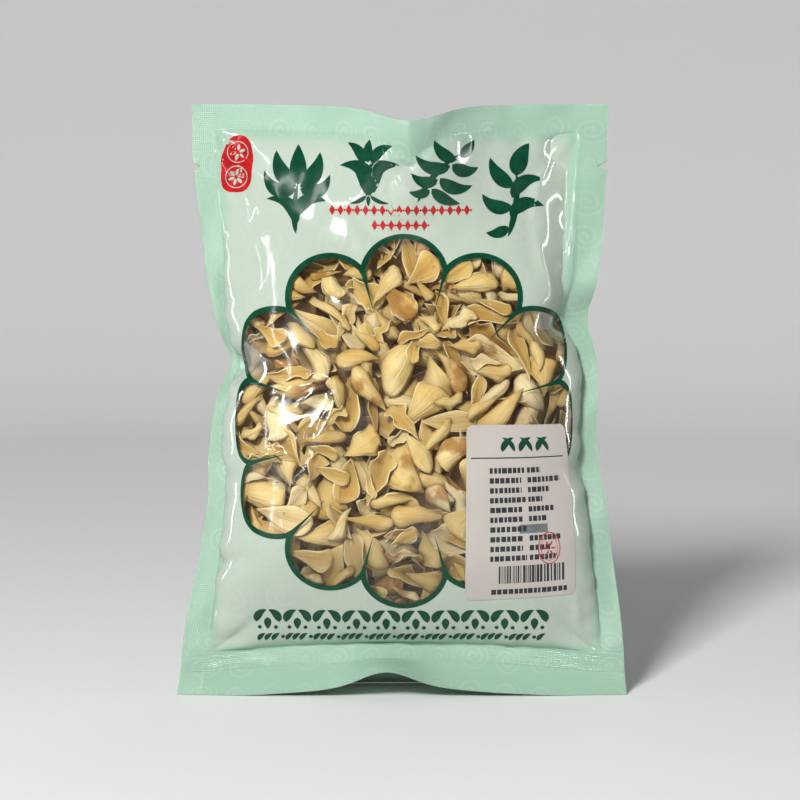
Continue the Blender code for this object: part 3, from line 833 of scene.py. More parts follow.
def add_strip(bm, centre, half, across=2):
    """Tapered brush stroke: a strip along a line of points with half widths."""
    rows = len(centre) - 1
    made = bmesh.ops.create_grid(bm, x_segments=across, y_segments=rows, size=0.5)["verts"]
    way = np.gradient(np.asarray(centre, float), axis=0)
    way /= np.maximum(np.linalg.norm(way, axis=1, keepdims=True), 1e-9)
    for vert in made:
        j = round((vert.co.y + 0.5) * rows)
        q = vert.co.x * 2.0
        x = centre[j][0] + way[j][1] * half[j] * q
        y = centre[j][1] - way[j][0] * half[j] * q
        vert.co = (x, y, 0.0)


def bow(start, end, sag, n):
    """Points along a bowed line."""
    t = np.linspace(0.0, 1.0, n)[:, None]
    start, end = np.asarray(start, float), np.asarray(end, float)
    side_way = np.array([-(end - start)[1], (end - start)[0]])
    return start * (1.0 - t) + end * t + side_way * sag * 4.0 * t * (1.0 - t)


def add_leaf(bm, foot, tip, width, sag=0.12, n=13):
    """Brushed leaf: full in the middle, drawn out to a point."""
    t = np.linspace(0.0, 1.0, n)
    half = 0.5 * width * np.sin(math.pi * t ** 0.8) ** 0.8 * (1.0 - 0.25 * t) + 0.08
    half[-1] = 0.03
    add_strip(bm, bow(foot, tip, sag, n), half, 4)


def add_dot(bm, x, y, radius_x, radius_y, turn=0.0, sides=12):
    made = bmesh.ops.create_circle(bm, cap_ends=True, segments=sides, radius=1.0)["verts"]
    c, s = math.cos(turn), math.sin(turn)
    for vert in made:
        px, py = vert.co.x * radius_x, vert.co.y * radius_y
        vert.co = (x + px * c - py * s, y + px * s + py * c, 0.0)


def add_bar(bm, left, low, right, high, step=3.0):
    """Plain rectangle cut into short lengths so that it bends with the film."""
    columns = max(1, round((right - left) / step))
    rows = max(1, round((high - low) / step))
    made = bmesh.ops.create_grid(bm, x_segments=columns, y_segments=rows, size=0.5)["verts"]
    for vert in made:
        vert.co = (left + (vert.co.x + 0.5) * (right - left), low + (vert.co.y + 0.5) * (high - low), 0.0)


def add_ring(bm, x, y, radius_x, radius_y, width, sides=40):
    """Thin elliptical ring."""
    angles = np.linspace(0.0, 2.0 * math.pi, sides + 1)
    centre = np.stack((x + radius_x * np.cos(angles), y + radius_y * np.sin(angles)), axis=1)
    add_strip(bm, centre, np.full(sides + 1, 0.5 * width), 1)
    bmesh.ops.remove_doubles(bm, verts=bm.verts, dist=0.001)


# Dried scales

def scale_template(columns, rows):
    """One closed slab over -1 to 1 along and across, 0 on its outer face and 1 on its hollow one."""
    bm = bmesh.new()
    bmesh.ops.create_grid(bm, x_segments=columns, y_segments=rows, size=1.0)
    give_thickness(bm, 1.0)
    mesh = finished_mesh(bm, "scale_template")
    return mesh, mesh_places(mesh)


def scale_kind(rng):
    """Random sizes of one dried scale: mostly petals, some narrow curled ones and some wide ones."""
    length, sort = rng.uniform(22.0, 39.0), rng.random()
    if sort < 0.62:
        share, curl = rng.uniform(0.40, 0.64), rng.uniform(75.0, 160.0)
    elif sort < 0.84:
        share, curl = rng.uniform(0.26, 0.40), rng.uniform(110.0, 190.0)
    else:
        share, curl = rng.uniform(0.60, 0.78), rng.uniform(60.0, 110.0)
    return {
        "length": length, "width": min(length * share, 23.0), "curl": math.radians(curl),
        "bend": math.radians(rng.uniform(10.0, 105.0)), "twist": math.radians(rng.uniform(-42.0, 42.0)),
        "blunt": rng.uniform(0.70, 1.0), "sharp": rng.uniform(0.75, 1.25), "wave": rng.uniform(0.4, 2.3),
        "turns": rng.uniform(2.6, 7.0), "foot": rng.uniform(0.08, 0.34), "thick": rng.uniform(0.15, 0.7),
        "phase": rng.uniform(0.0, 6.28), "lean": rng.uniform(-0.6, 0.6), "uneven": rng.uniform(-0.42, 0.42),
        "lip": rng.uniform(-0.2, 2.2), "keel": rng.uniform(-0.3, 1.0),
    }


def scale_form(flat, kind):
    """Boat-shaped scale in millimetres: along, across, and depth with its hollow towards +."""
    s, q, w = flat[:, 0], flat[:, 1], flat[:, 2]
    t = np.clip(0.5 + 0.5 * s, 0.0, 1.0)
    outline = np.maximum(np.sin(math.pi * t ** kind["blunt"]), 0.0) ** kind["sharp"]
    outline = outline + kind["foot"] * (1.0 - t) ** 3
    outline = outline * (1.0 + 0.05 * np.sin(4.0 * s + 2.0 * q + kind["phase"])) + 0.02
    arc = 0.5 * kind["width"] * outline
    angle = 0.5 * kind["curl"] * (0.5 + 0.5 * outline)
    turn = q * angle * (1.0 + kind["uneven"] * q)
    radius = arc / angle
    wave = kind["wave"] * np.sin(kind["turns"] * s + kind["phase"] + 1.3 * np.sign(q))
    wave = wave * np.abs(q) ** 1.7 * outline
    thick = kind["thick"] * (1.0 - 0.8 * np.abs(q) ** 1.5) * (1.0 - 0.55 * np.abs(s + 0.15) ** 2.0) + 0.30
    height = thick * w + wave - kind["lip"] * np.abs(q) ** 4 * outline
    across = (radius - height) * np.sin(turn)
    depth = radius - (radius - height) * np.cos(turn)
    depth = depth - kind["keel"] * np.maximum(1.0 - 1.6 * np.abs(q), 0.0) * outline
    depth = depth + 0.16 * np.cos(q * 7.0 + kind["phase"]) * (1.0 - q * q) * outline
    spin = kind["twist"] * s + kind["lean"] * s * s
    across, depth = (across * np.cos(spin) - depth * np.sin(spin),
                     across * np.sin(spin) + depth * np.cos(spin))
    bow_radius = kind["length"] / kind["bend"]
    phi = s * 0.5 * kind["bend"] * (1.0 + 0.35 * s)
    along = (bow_radius - depth) * np.sin(phi)
    depth = bow_radius - (bow_radius - depth) * np.cos(phi)
    return np.stack((along, across, depth), axis=1)


def heap_floor(u, v, most):
    """Depth of the loose scales under flat spots of the front film: less where the packet thins."""
    points = FRONT.at(u, v, np.zeros_like(u)) / MM
    room = middle_y(points[:, 0], points[:, 2]) - MIDDLE_DEPTH - points[:, 1]
    return np.clip(0.85 * room, 1.5, most)


def fill_heap(near, far, count, centre, floor_depth, seed):
    """Lay scales one by one on what is already there, and keep those that a look from the front meets."""
    rng = random.Random(seed)
    a, b = np.meshgrid(np.linspace(-1.0, 1.0, 25), np.linspace(-1.0, 1.0, 15))
    probe = np.concatenate([np.stack((a.ravel(), b.ravel(), np.full(a.size, w)), axis=1)
                            for w in (0.0, 1.0)])
    cell = HEAP_CELL
    size = int(2.0 * (HEAP_REACH + HEAP_MARGIN) / cell)
    origin = np.array(centre) - (HEAP_REACH + HEAP_MARGIN)
    middles = (np.arange(size) + 0.5) * cell
    cu, cv = np.meshgrid(origin[0] + middles, origin[1] + middles)
    top = heap_floor(cu.ravel(), cv.ravel(), floor_depth).reshape(size, size)
    owner = np.full((size, size), -1)
    laid, misses, tries = [], 0, 0
    while len(laid) < count and misses < MOST_MISSES and tries < MOST_TRIES:
        tries += 1
        kind = scale_kind(rng)
        smaller = 1.0 - 0.4 * min(misses / 120.0, 1.0)
        kind["length"] *= smaller
        kind["width"] *= smaller
        dense = scale_form(probe, kind)
        middle = dense.mean(axis=0)
        dense = dense - middle
        best = None
        flip = math.pi if rng.random() < 0.60 else 0.0
        for _ in range(12):
            lowest, spot = -1.0, None
            for _ in range(3):
                radius = HEAP_REACH * math.sqrt(rng.random())
                angle = rng.uniform(0.0, 2.0 * math.pi)
                x, y = centre[0] + radius * math.cos(angle), centre[1] + radius * math.sin(angle)
                here = top[int((y - origin[1]) / cell), int((x - origin[0]) / cell)]
                if here > lowest:
                    lowest, spot = here, np.array((x, y))
            steep = 1.2 if rng.random() < 0.34 else 0.55
            turn = np.array(Matrix.Rotation(rng.uniform(0.0, 6.283), 3, "Z") @ Matrix.Rotation(
                rng.uniform(-steep, steep), 3, "Y") @ Matrix.Rotation(flip + rng.uniform(-steep, steep), 3, "X"))
            turned = dense @ turn.T
            cells = np.clip(((turned[:, :2] + spot - origin) / cell).astype(int), 0, size - 1)
            room = top[cells[:, 1], cells[:, 0]] - turned[:, 2]
            depth = np.partition(room, len(room) // 20)[len(room) // 20]
            if depth + turned[:, 2].min() < 0.0:
                continue
            score = depth + turned[:, 2].mean() + rng.uniform(0.0, 1.0)
            if best is None or score > best[0]:
                best = (score, turn, spot, depth, cells, turned)
        if best is None:
            misses += 1
            continue
        misses = 0
        _, turn, spot, depth, cells, turned = best
        fresh = depth + turned[:, 2]
        over = fresh < top[cells[:, 1], cells[:, 0]]
        owner[cells[over, 1], cells[over, 0]] = len(laid)
        np.minimum.at(top, (cells[:, 1], cells[:, 0]), fresh)
        laid.append((kind, middle, turn, (spot[0], spot[1], depth)))
    met = np.bincount(owner[owner >= 0], minlength=len(laid))
    kept = []
    for (kind, middle, turn, place), cells in zip(laid, met):
        if cells:
            fine = cells >= NEAR_CELLS
            kept.append((fine, (scale_form(near if fine else far, kind) - middle) @ turn.T + place))
    return kept


# Settings

def size_setting(name, description, default, precision=4):
    return FloatProperty(name=name, description=description, default=default,
                         unit="LENGTH", precision=precision)


def colour_setting(name, description, default):
    return FloatVectorProperty(name=name, description=description, default=default,
                               subtype="COLOR", size=3, min=0.0, max=1.0)


class FilmSettings(bpy.types.PropertyGroup):
    """Sizes and colours of the films and their print."""
    thickness: size_setting("Film thickness", "Thickness of each film", 0.0002, 5)
    petal_tip: size_setting("Petal tip radius", "Radius at the tips of the opening's petals", 0.0945)
    petal_cusp: size_setting("Petal cusp radius", "Radius where two petals meet", 0.0815)
    outline: size_setting("Outline width", "Width of the line round the opening", 0.0027)
    wedge: size_setting("Wedge length", "Length of the thin wedge at each cusp", 0.024)
    hem_colour: colour_setting("Hem colour", "Print colour of the hems", (0.31, 0.475, 0.36))
    panel_colour: colour_setting("Panel colour", "Print colour between the seams", (0.435, 0.508, 0.425))
    green: colour_setting("Green ink", "Colour of the leaf print and the outline", (0.004, 0.062, 0.030))
    red: colour_setting("Red ink", "Colour of the small red print", (0.50, 0.012, 0.016))


class LabelSettings(bpy.types.PropertyGroup):
    """Size and colours of the paper label."""
    width: size_setting("Width", "Label width", 0.0560)
    height: size_setting("Height", "Label height", 0.0880)
    corner: size_setting("Corner radius", "Radius of its corners", 0.0035)
    paper: colour_setting("Paper colour", "Colour of the paper", (0.49, 0.452, 0.41))
    dark: colour_setting("Dark ink", "Colour of the rows and bars", (0.03, 0.035, 0.04))


class HeapSettings(bpy.types.PropertyGroup):
    """Number and colours of the dried scales."""
    count: IntProperty(name="Scales", description="Most scales laid behind the opening", default=520, min=1)
    depth: size_setting("Depth", "How deep the loose scales lie over the core", 0.015)
    seed: IntProperty(name="Seed", description="Seed of their places", default=12)
    cream: colour_setting("Cream", "Palest colour of a scale", (0.86, 0.665, 0.275))
    tan: colour_setting("Tan", "Warmer colour of a scale", (0.57, 0.345, 0.08))
    brown: colour_setting("Brown", "Colour of the ends and dry edges", (0.34, 0.17, 0.045))


class StageSettings(bpy.types.PropertyGroup):
    """Camera and light of the studio."""
    elevation: FloatProperty(name="Elevation", description="Camera height angle over the horizon",
                             default=math.radians(6.0), subtype="ANGLE")
    distance: FloatProperty(name="Distance", description="Camera distance", default=1.15, unit="LENGTH")
    focal: FloatProperty(name="Focal length", description="Lens focal length in millimetres", default=103.5)
    key: FloatProperty(name="Key light", description="Power of the main light in watts", default=44.0)
    strip: FloatProperty(name="Strip lights", description="Power of each narrow light in watts", default=1.8)


# Operators

class PACKET_OT_front_film(bpy.types.Operator):
    """Printed front film, with its hems and puckers"""
    bl_idname = "packet.front_film"
    bl_label = "Front Film"

    def execute(self, context):
        s = context.scene.packet_film
        bm = flat_sheet(-FLAT_HALF, FLAT_HALF, 0.0, FLAT_TOP, 200, 272)
        bmesh.ops.delete(bm, geom=inside_opening(bm, s, 0.5 * s.outline / MM), context="FACES")
        notch(bm)
        give_thickness(bm, s.thickness / MM)
        finish = printed_film("mint_print", s.hem_colour, s.panel_colour)
        lay_on(bm, FRONT, FILM_LIFT, "front_print", finish, ("front_film",))
        return {"FINISHED"}


class PACKET_OT_clear_window(bpy.types.Operator):
    """Clear part of the front film, inside the petal outline"""
    bl_idname = "packet.clear_window"
    bl_label = "Clear Window"

    def execute(self, context):
        s = context.scene.packet_film
        bm = flat_sheet(-FLAT_HALF, FLAT_HALF, 0.0, FLAT_TOP, FRONT.nu - 1, FRONT.nv - 1)
        kept = set(inside_opening(bm, s, 0.5 * s.outline / MM))
        bmesh.ops.delete(bm, geom=[f for f in bm.faces if f not in kept], context="FACES")
        give_thickness(bm, s.thickness / MM)
        finish = clear_film("clear_gloss")
        lay_on(bm, FRONT, FILM_LIFT, "clear_window", finish, ("window_film",))
        return {"FINISHED"}


class PACKET_OT_back_film(bpy.types.Operator):
    """Printed back film"""
    bl_idname = "packet.back_film"
    bl_label = "Back Film"

    def execute(self, context):
        s = context.scene.packet_film
        bm = flat_sheet(-FLAT_HALF, FLAT_HALF, 0.0, FLAT_TOP, 110, 150)
        notch(bm)
        give_thickness(bm, s.thickness / MM)
        finish = printed_film("mint_back", s.hem_colour, s.panel_colour)
        lay_on(bm, BACK, FILM_LIFT, "back_sheet", finish, ("back_film",))
        return {"FINISHED"}


class PACKET_OT_petal_outline(bpy.types.Operator):
    """Dark line round the opening, with a wedge at each cusp"""
    bl_idname = "packet.petal_outline"
    bl_label = "Petal Outline"

    def execute(self, context):
        s = context.scene.packet_film
        tip, cusp, line = s.petal_tip / MM, s.petal_cusp / MM, s.outline / MM
        half_step = math.pi / PETALS
        share = 1.0 - (1.0 - np.linspace(0.0, 1.0, 19)) ** 1.9
        folded = np.concatenate((-share[::-1], share[1:])) * half_step
        angles = np.concatenate([folded[:-1] + math.pi / 2 + 2.0 * half_step * k for k in range(PETALS)])
        columns = len(angles)
        bm = bmesh.new()
        bmesh.ops.create_grid(bm, x_segments=columns, y_segments=8, size=0.5)
        outer = petal_radius(angles, tip, cusp)
        inner = petal_radius(angles, tip, cusp, line)
        foot = cusp - s.wedge / MM
        for k, angle in enumerate(angles):
            near = half_step - abs((angle - math.pi / 2 + half_step) % (2.0 * half_step) - half_step)
            for r in np.linspace(foot, cusp, 80):
                share = (r - foot) / (cusp - foot)
                if r * math.sin(near) < 0.95 * share ** 0.9 + 1.5 * share ** 6:
                    inner[k] = min(inner[k], r)
                    break
        for vert in bm.verts:
            k = round((vert.co.x + 0.5) * columns) % columns
            t = vert.co.y + 0.5
            r = inner[k] + (outer[k] - inner[k]) * t
            vert.co = (r * math.cos(angles[k]), r * math.sin(angles[k]), 0.0)
        bmesh.ops.remove_doubles(bm, verts=bm.verts, dist=0.0005)
        give_thickness(bm, PRINT_THICK)
        finish = ink("green_line", s.green)
        lay_on(bm, FRONT, PRINT_LIFT, "petal_line", finish, (), print_to_front)
        return {"FINISHED"}


BRUSHED_PLANTS = (
    (-52.5, 253.0, 1.0, ((0, -22, 1, 3, 3.4, 0.05), (0, 0, -16, 9, 8.0, 0.28), (0, 1, -10, 19, 9.0, 0.14),
                    (1, 2, 1, 22, 9.4, 0.0), (2, 1, 12, 18, 9.0, -0.14), (2, 0, 17, 7, 7.6, -0.28),
                    (0, -18, -15, -5, 7.0, -0.28), (0, -14, 15, -6, 7.2, 0.28))),
    (-16.5, 261.0, 0.74, ((-2, -13, -14, 5, 9.0, -0.38), (-1, -15, -5, 8, 8.0, -0.2), (1, -15, 6, 8, 8.0, 0.2),
                    (3, -13, 15, 5, 9.0, 0.38), (-2, 6, -10, 20, 5.6, -0.14), (0, 7, 1, 22, 5.4, 0.05),
                    (2, 6, 12, 18, 5.6, 0.16), (-1, -15, -9, -20, 2.2, 0.1), (0, -15, 0, -22, 2.2, 0.0),
                    (1, -15, 10, -20, 2.2, -0.1))),
    (20.5, 261.5, 0.74, ((-13, -20, 8, 12, 3.2, 0.08), (8, 10, 15, 21, 6.0, -0.05), (6, 8, -5, 21, 6.6, 0.15),
                   (3, 4, -14, 11, 7.0, 0.2), (4, 5, 17, 3, 7.0, -0.2), (-3, -5, -16, -1, 6.4, 0.2),
                   (-2, -4, 14, -9, 7.2, -0.2), (-7, -12, -17, -13, 5.0, 0.15), (-6, -11, 8, -21, 6.4, -0.1))),
    (55.5, 252.5, 1.0, ((-3, -23, 1, 10, 3.6, -0.06), (1, 7, 8, 23, 10.0, 0.08), (0, 2, -12, 16, 8.0, 0.14),
                   (-1, -4, 15, 5, 7.6, 0.22), (-1, -8, -16, -2, 7.6, 0.2), (-2, -13, 15, -8, 7.4, 0.22),
                   (-3, -18, -14, -21, 6.0, 0.15))),
)


def front_view(x, z):
    """Print that is drawn as it is seen from the front."""
    return x, z


class PACKET_OT_leaf_print(bpy.types.Operator):
    """Four brushed plants over the opening, and the leaf border under it"""
    bl_idname = "packet.leaf_print"
    bl_label = "Leaf Print"

    def execute(self, context):
        s = context.scene.packet_film
        bm = bmesh.new()
        for x, z, tall, strokes in BRUSHED_PLANTS:
            for x0, y0, x1, y1, width, sag in strokes:
                add_leaf(bm, (x + x0, z + y0 * tall), (x + x1, z + y1 * tall), width, sag)
        left, right, foot, count = -74.5, 73.5, 39.4, 10
        for k in range(count):
            x = left + (right - left) * (k + 0.5) / count
            add_leaf(bm, (x - 5.8, foot - 1.4), (x - 0.4, foot + 5.2), 4.4, 0.18, 9)
            add_leaf(bm, (x + 5.8, foot - 1.4), (x + 0.4, foot + 5.2), 4.4, -0.18, 9)
            add_leaf(bm, (x, foot + 1.0), (x, foot - 5.4), 4.0, 0.0, 9)
            add_dot(bm, x - 4.0, foot - 4.3, 1.0, 1.0)
            add_dot(bm, x + 4.0, foot - 4.3, 1.0, 1.0)
        left, right, foot = -72.0, 71.5, 29.8
        for k in range(41):
            x = left + (right - left) * (k + 0.5) / 41.0
            if k % 4 == 3:
                add_dot(bm, x, foot, 1.0, 1.0)
            else:
                add_leaf(bm, (x - 1.9, foot - 1.9), (x + 1.9, foot + 1.9), 2.5, 0.12, 7)
        give_thickness(bm, PRINT_THICK)
        finish = ink("green_print", s.green)
        lay_on(bm, FRONT, PRINT_LIFT, "leaf_print", finish, (), front_view)
        return {"FINISHED"}


class PACKET_OT_red_print(bpy.types.Operator):
    """Small red diamonds and the round-cornered flower mark"""
    bl_idname = "packet.red_print"
    bl_label = "Red Print"

    def execute(self, context):
        s = context.scene.packet_film
        bm = bmesh.new()
        for left, right, z, count in ((-36.5, 34.0, 242.8, 17), (-15.5, 13.0, 235.4, 7)):
            for k in range(count):
                x = left + (right - left) * (k + 0.5) / count
                add_dot(bm, x, z, 1.55, 2.7, 0.0, 4)
                add_dot(bm, x + 0.5 * (right - left) / count, z, 0.55, 0.55)
        x, z, half, tall, power = -82.4, 265.0, 7.9, 14.2, 2.8
        add_bar(bm, x - half, z - tall, x + half, z + tall, 1.6)
        for vert in bm.verts:
            dx, dy = vert.co.x - x, vert.co.y - z
            if abs(dx) <= half + 0.01 and abs(dy) <= tall + 0.01:
                reach = (abs(dx / half) ** power + abs(dy / tall) ** power) ** (1.0 / power)
                square = max(abs(dx / half), abs(dy / tall))
                if reach > 1e-6:
                    keep = square / reach * (1.0 + 0.035 * math.sin(5.0 * math.atan2(dy, dx)))
                    vert.co.x, vert.co.y = x + dx * keep + 0.06 * dy, z + dy * keep
        give_thickness(bm, PRINT_THICK)
        lay_on(bm, FRONT, PRINT_LIFT, "red_print", ink("red_ink", s.red), (), front_view)
        pale = bmesh.new()
        for cx, cz, size in ((x + 0.3, z + 6.2, 4.5), (x - 0.3, z - 6.2, 4.5)):
            for k in range(6):
                angle = math.pi / 3.0 * k + 0.3
                add_dot(pale, cx + size * 0.55 * math.cos(angle), cz + size * 0.55 * math.sin(angle),
                        size * 0.36, size * 0.17, angle, 14)
            add_ring(pale, cx, cz, size * 1.18, size * 1.18, 0.45)
        give_thickness(pale, PALE_THICK)
        finish = ink("pale_ink", s.panel_colour)
        lay_on(pale, FRONT, PALE_LIFT, "pale_print", finish, (), front_view)
        return {"FINISHED"}


def label_to_front(x, y):
    """Where a spot on the label, right of and below its top left corner, is seen from the front."""
    across, down = x / LABEL_WIDE, -y / LABEL_TALL
    width = 48.2 + 6.6 * down * (1.7 - 0.7 * down)
    return (31.6 + width * across * (1.13 - 0.13 * across) - 0.4 * down,
            138.0 - down * (87.8 - 3.2 * across) - 0.4 * across)


class PACKET_OT_label(bpy.types.Operator):
    """Paper label with rounded corners"""
    bl_idname = "packet.label"
    bl_label = "Paper Label"

    def execute(self, context):
        s = context.scene.packet_label
        width, height, corner = s.width / MM, s.height / MM, s.corner / MM
        bm = flat_sheet(0.0, width, -height, 0.0, 56, 84)
        for vert in bm.verts:
            cx = min(max(vert.co.x, corner), width - corner)
            cy = min(max(vert.co.y, corner - height), -corner)
            dx, dy = vert.co.x - cx, vert.co.y - cy
            away = math.hypot(dx, dy)
            square = max(abs(dx), abs(dy))
            if away > 1e-6:
                vert.co.x, vert.co.y = cx + dx * square / away, cy + dy * square / away
        give_thickness(bm, LABEL_THICK)
        finish = label_paper("coated_paper", s.paper)
        lay_on(bm, FRONT, LABEL_LIFT, "paper_label", finish, ("label",), label_to_front)
        return {"FINISHED"}


class PACKET_OT_label_print(bpy.types.Operator):
    """Plain rows, rule, bars and double ring on the label"""
    bl_idname = "packet.label_print"
    bl_label = "Label Print"

    def execute(self, context):
        s = context.scene.packet_label
        film = context.scene.packet_film
        width = s.width / MM
        rng = random.Random(8)
        green = bmesh.new()
        add_bar(green, 2.2, -16.7, width - 3.0, -16.1)
        for k in range(3):
            x = 21.5 + 9.6 * k
            add_leaf(green, (x - 3.4, -13.4), (x + 3.2, -6.4), 3.6, 0.14, 9)
            add_leaf(green, (x + 3.4, -13.4), (x - 3.2, -6.4), 2.6, -0.14, 9)
        self.lay(green, LABEL_PRINT_LIFT, "label_rule", ink("label_green", film.green, 0.35))
        dark = bmesh.new()
        for row in range(10):
            y = -22.6 - 4.9 * row
            self.row(dark, 11.4, 27.6 if row % 3 else 29.6, y, rng)
            if row != 6:
                self.row(dark, 31.0, rng.uniform(38.0, 50.0), y, rng)
        x = 15.5
        while x < width - 7.5:
            bar = rng.choice((0.4, 0.4, 0.8, 1.3))
            add_bar(dark, x, -79.8, x + bar, -70.6)
            x += bar + rng.choice((0.4, 0.6, 0.9))
        self.row(dark, 12.0, width - 5.0, -84.2, rng)
        self.lay(dark, LABEL_PRINT_LIFT, "label_rows", ink("label_dark", s.dark, 0.4))
        grey = bmesh.new()
        add_bar(grey, 26.0, -54.4, 41.0, -50.0)
        self.lay(grey, LABEL_PRINT_LIFT, "label_block", ink("label_grey", (0.16, 0.17, 0.18), 0.4))
        rings = bmesh.new()
        x, y = 41.5, -62.6
        add_ring(rings, x, y, 5.9, 8.0, 0.55)
        add_ring(rings, x, y, 4.4, 6.3, 0.3)
        for k in range(6):
            angle = math.pi / 3.0 * k
            add_dot(rings, x + 2.1 * math.cos(angle), y + 2.7 * math.sin(angle), 1.3, 0.5, angle, 10)
        self.lay(rings, LABEL_RINGS_LIFT, "label_rings", ink("ring_red", (0.46, 0.05, 0.06), 0.4))
        return {"FINISHED"}

    def row(self, bm, x, stop, y, rng):
        """Row of short dashes of uneven length."""
        while x < stop:
            dash = rng.uniform(1.3, 2.6)
            add_bar(bm, x, y - 1.35, min(x + dash, stop), y + 1.35)
            x += dash + rng.uniform(0.35, 0.75)

    def lay(self, bm, lift, name, finish):
        give_thickness(bm, LABEL_PRINT_THICK)
        lay_on(bm, FRONT, lift, name, finish, (), label_to_front)


class PACKET_OT_scale_heap(bpy.types.Operator):
    """Dried scales heaped behind the opening, over a smaller core"""
    bl_idname = "packet.scale_heap"
    bl_label = "Dried Scales"

    def execute(self, context):
        s = context.scene.packet_heap
        near, near_flat = scale_template(9, 6)
        far, far_flat = scale_template(6, 4)
        centre = FRONT.flat_spot(*OPENING_AT)
        laid = fill_heap(near_flat, far_flat, s.count, centre, s.depth / MM, s.seed)
        rng = random.Random(s.seed + 1)
        bm = bmesh.new()
        places, own = [], []
        for fine, points in laid:
            bm.from_mesh(near if fine else far)
            places.append(points)
            flat = near_flat if fine else far_flat
            tone, spot = rng.random() ** 1.4, max(rng.random() * 2.2 - 1.2, 0.0)
            # How deep each point lies behind the film; the scale finish darkens by this as painted shade
            deep = np.clip((points[:, 2] - 1.5) / 10.5, 0.0, 1.0)
            whole = [np.full(len(flat), value) for value in (tone, spot)]
            own.append(np.column_stack((flat, *whole, deep)))
        places, own = np.concatenate(places), np.concatenate(own)
        across = np.clip(places[:, 0], -FLAT_REACH, FLAT_REACH)
        move_to(bm, FRONT.at(across, places[:, 1], -places[:, 2] - 0.15))
        mesh = finished_mesh(bm, "scale_heap")
        bpy.data.meshes.remove(near)
        bpy.data.meshes.remove(far)
        for column, name in ((2, "hollow"), (3, "tone"), (4, "spot"), (5, "deep")):
            values = mesh.attributes.new(name, "FLOAT", "POINT").data
            values.foreach_set("value", own[:, column].copy())
        set_flat_uv(mesh, 0.5 + 0.5 * own[:, :2])
        mesh.materials.append(dried_scale("dried_scale_wax", s.cream, s.tan, s.brown))
        mesh.shade_smooth()
        piece = linked("scale_heap", mesh)
        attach(piece, "root")
        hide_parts("bulb_scales")
        add_core(s)
        return {"FINISHED"}


def move_to(bm, places):
    """Move each vertex to its place, and turn the faces outwards."""
    for vert, place in zip(bm.verts, places):
        vert.co = place
    bmesh.ops.recalc_face_normals(bm, faces=bm.faces)


def add_core(settings):
    """Rounded middle of the heap, inside both films."""
    bm = bmesh.new()
    bmesh.ops.create_uvsphere(bm, u_segments=72, v_segments=48, radius=1.0)
    flat = np.array([v.co for v in bm.verts])
    across, up, towards = flat[:, 0], flat[:, 2], -flat[:, 1]
    reach = np.hypot(across, up)
    safe = np.maximum(reach, 1e-6)
    c, s = across / safe, up / safe
    half_width, half_height, height, power = 98.0, 122.0, 152.0, 3.6
    spread = safe / (np.abs(c) ** power + np.abs(s) ** power) ** (1.0 / power)
    u, v = half_width * c * spread, height + half_height * s * spread
    front = FRONT.at(u, v, 1.0 - heap_floor(u, v, settings.depth / MM))
    back = BACK.at(-u, v, np.full_like(u, -2.5))
    middle = 0.45 * front + 0.55 * back
    share = np.maximum(1.0 - np.minimum(reach, 1.0) ** 8, 0.0)[:, None] ** 0.5
    world = middle + (np.where(towards[:, None] > 0.0, front, back) - middle) * share
    move_to(bm, world)
    mesh = finished_mesh(bm, "heap_middle")
    mesh.materials.append(heap_core("shaded_scales", (0.15, 0.082, 0.034)))
    mesh.shade_smooth()
    piece = linked("heap_middle", mesh)
    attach(piece, "root")


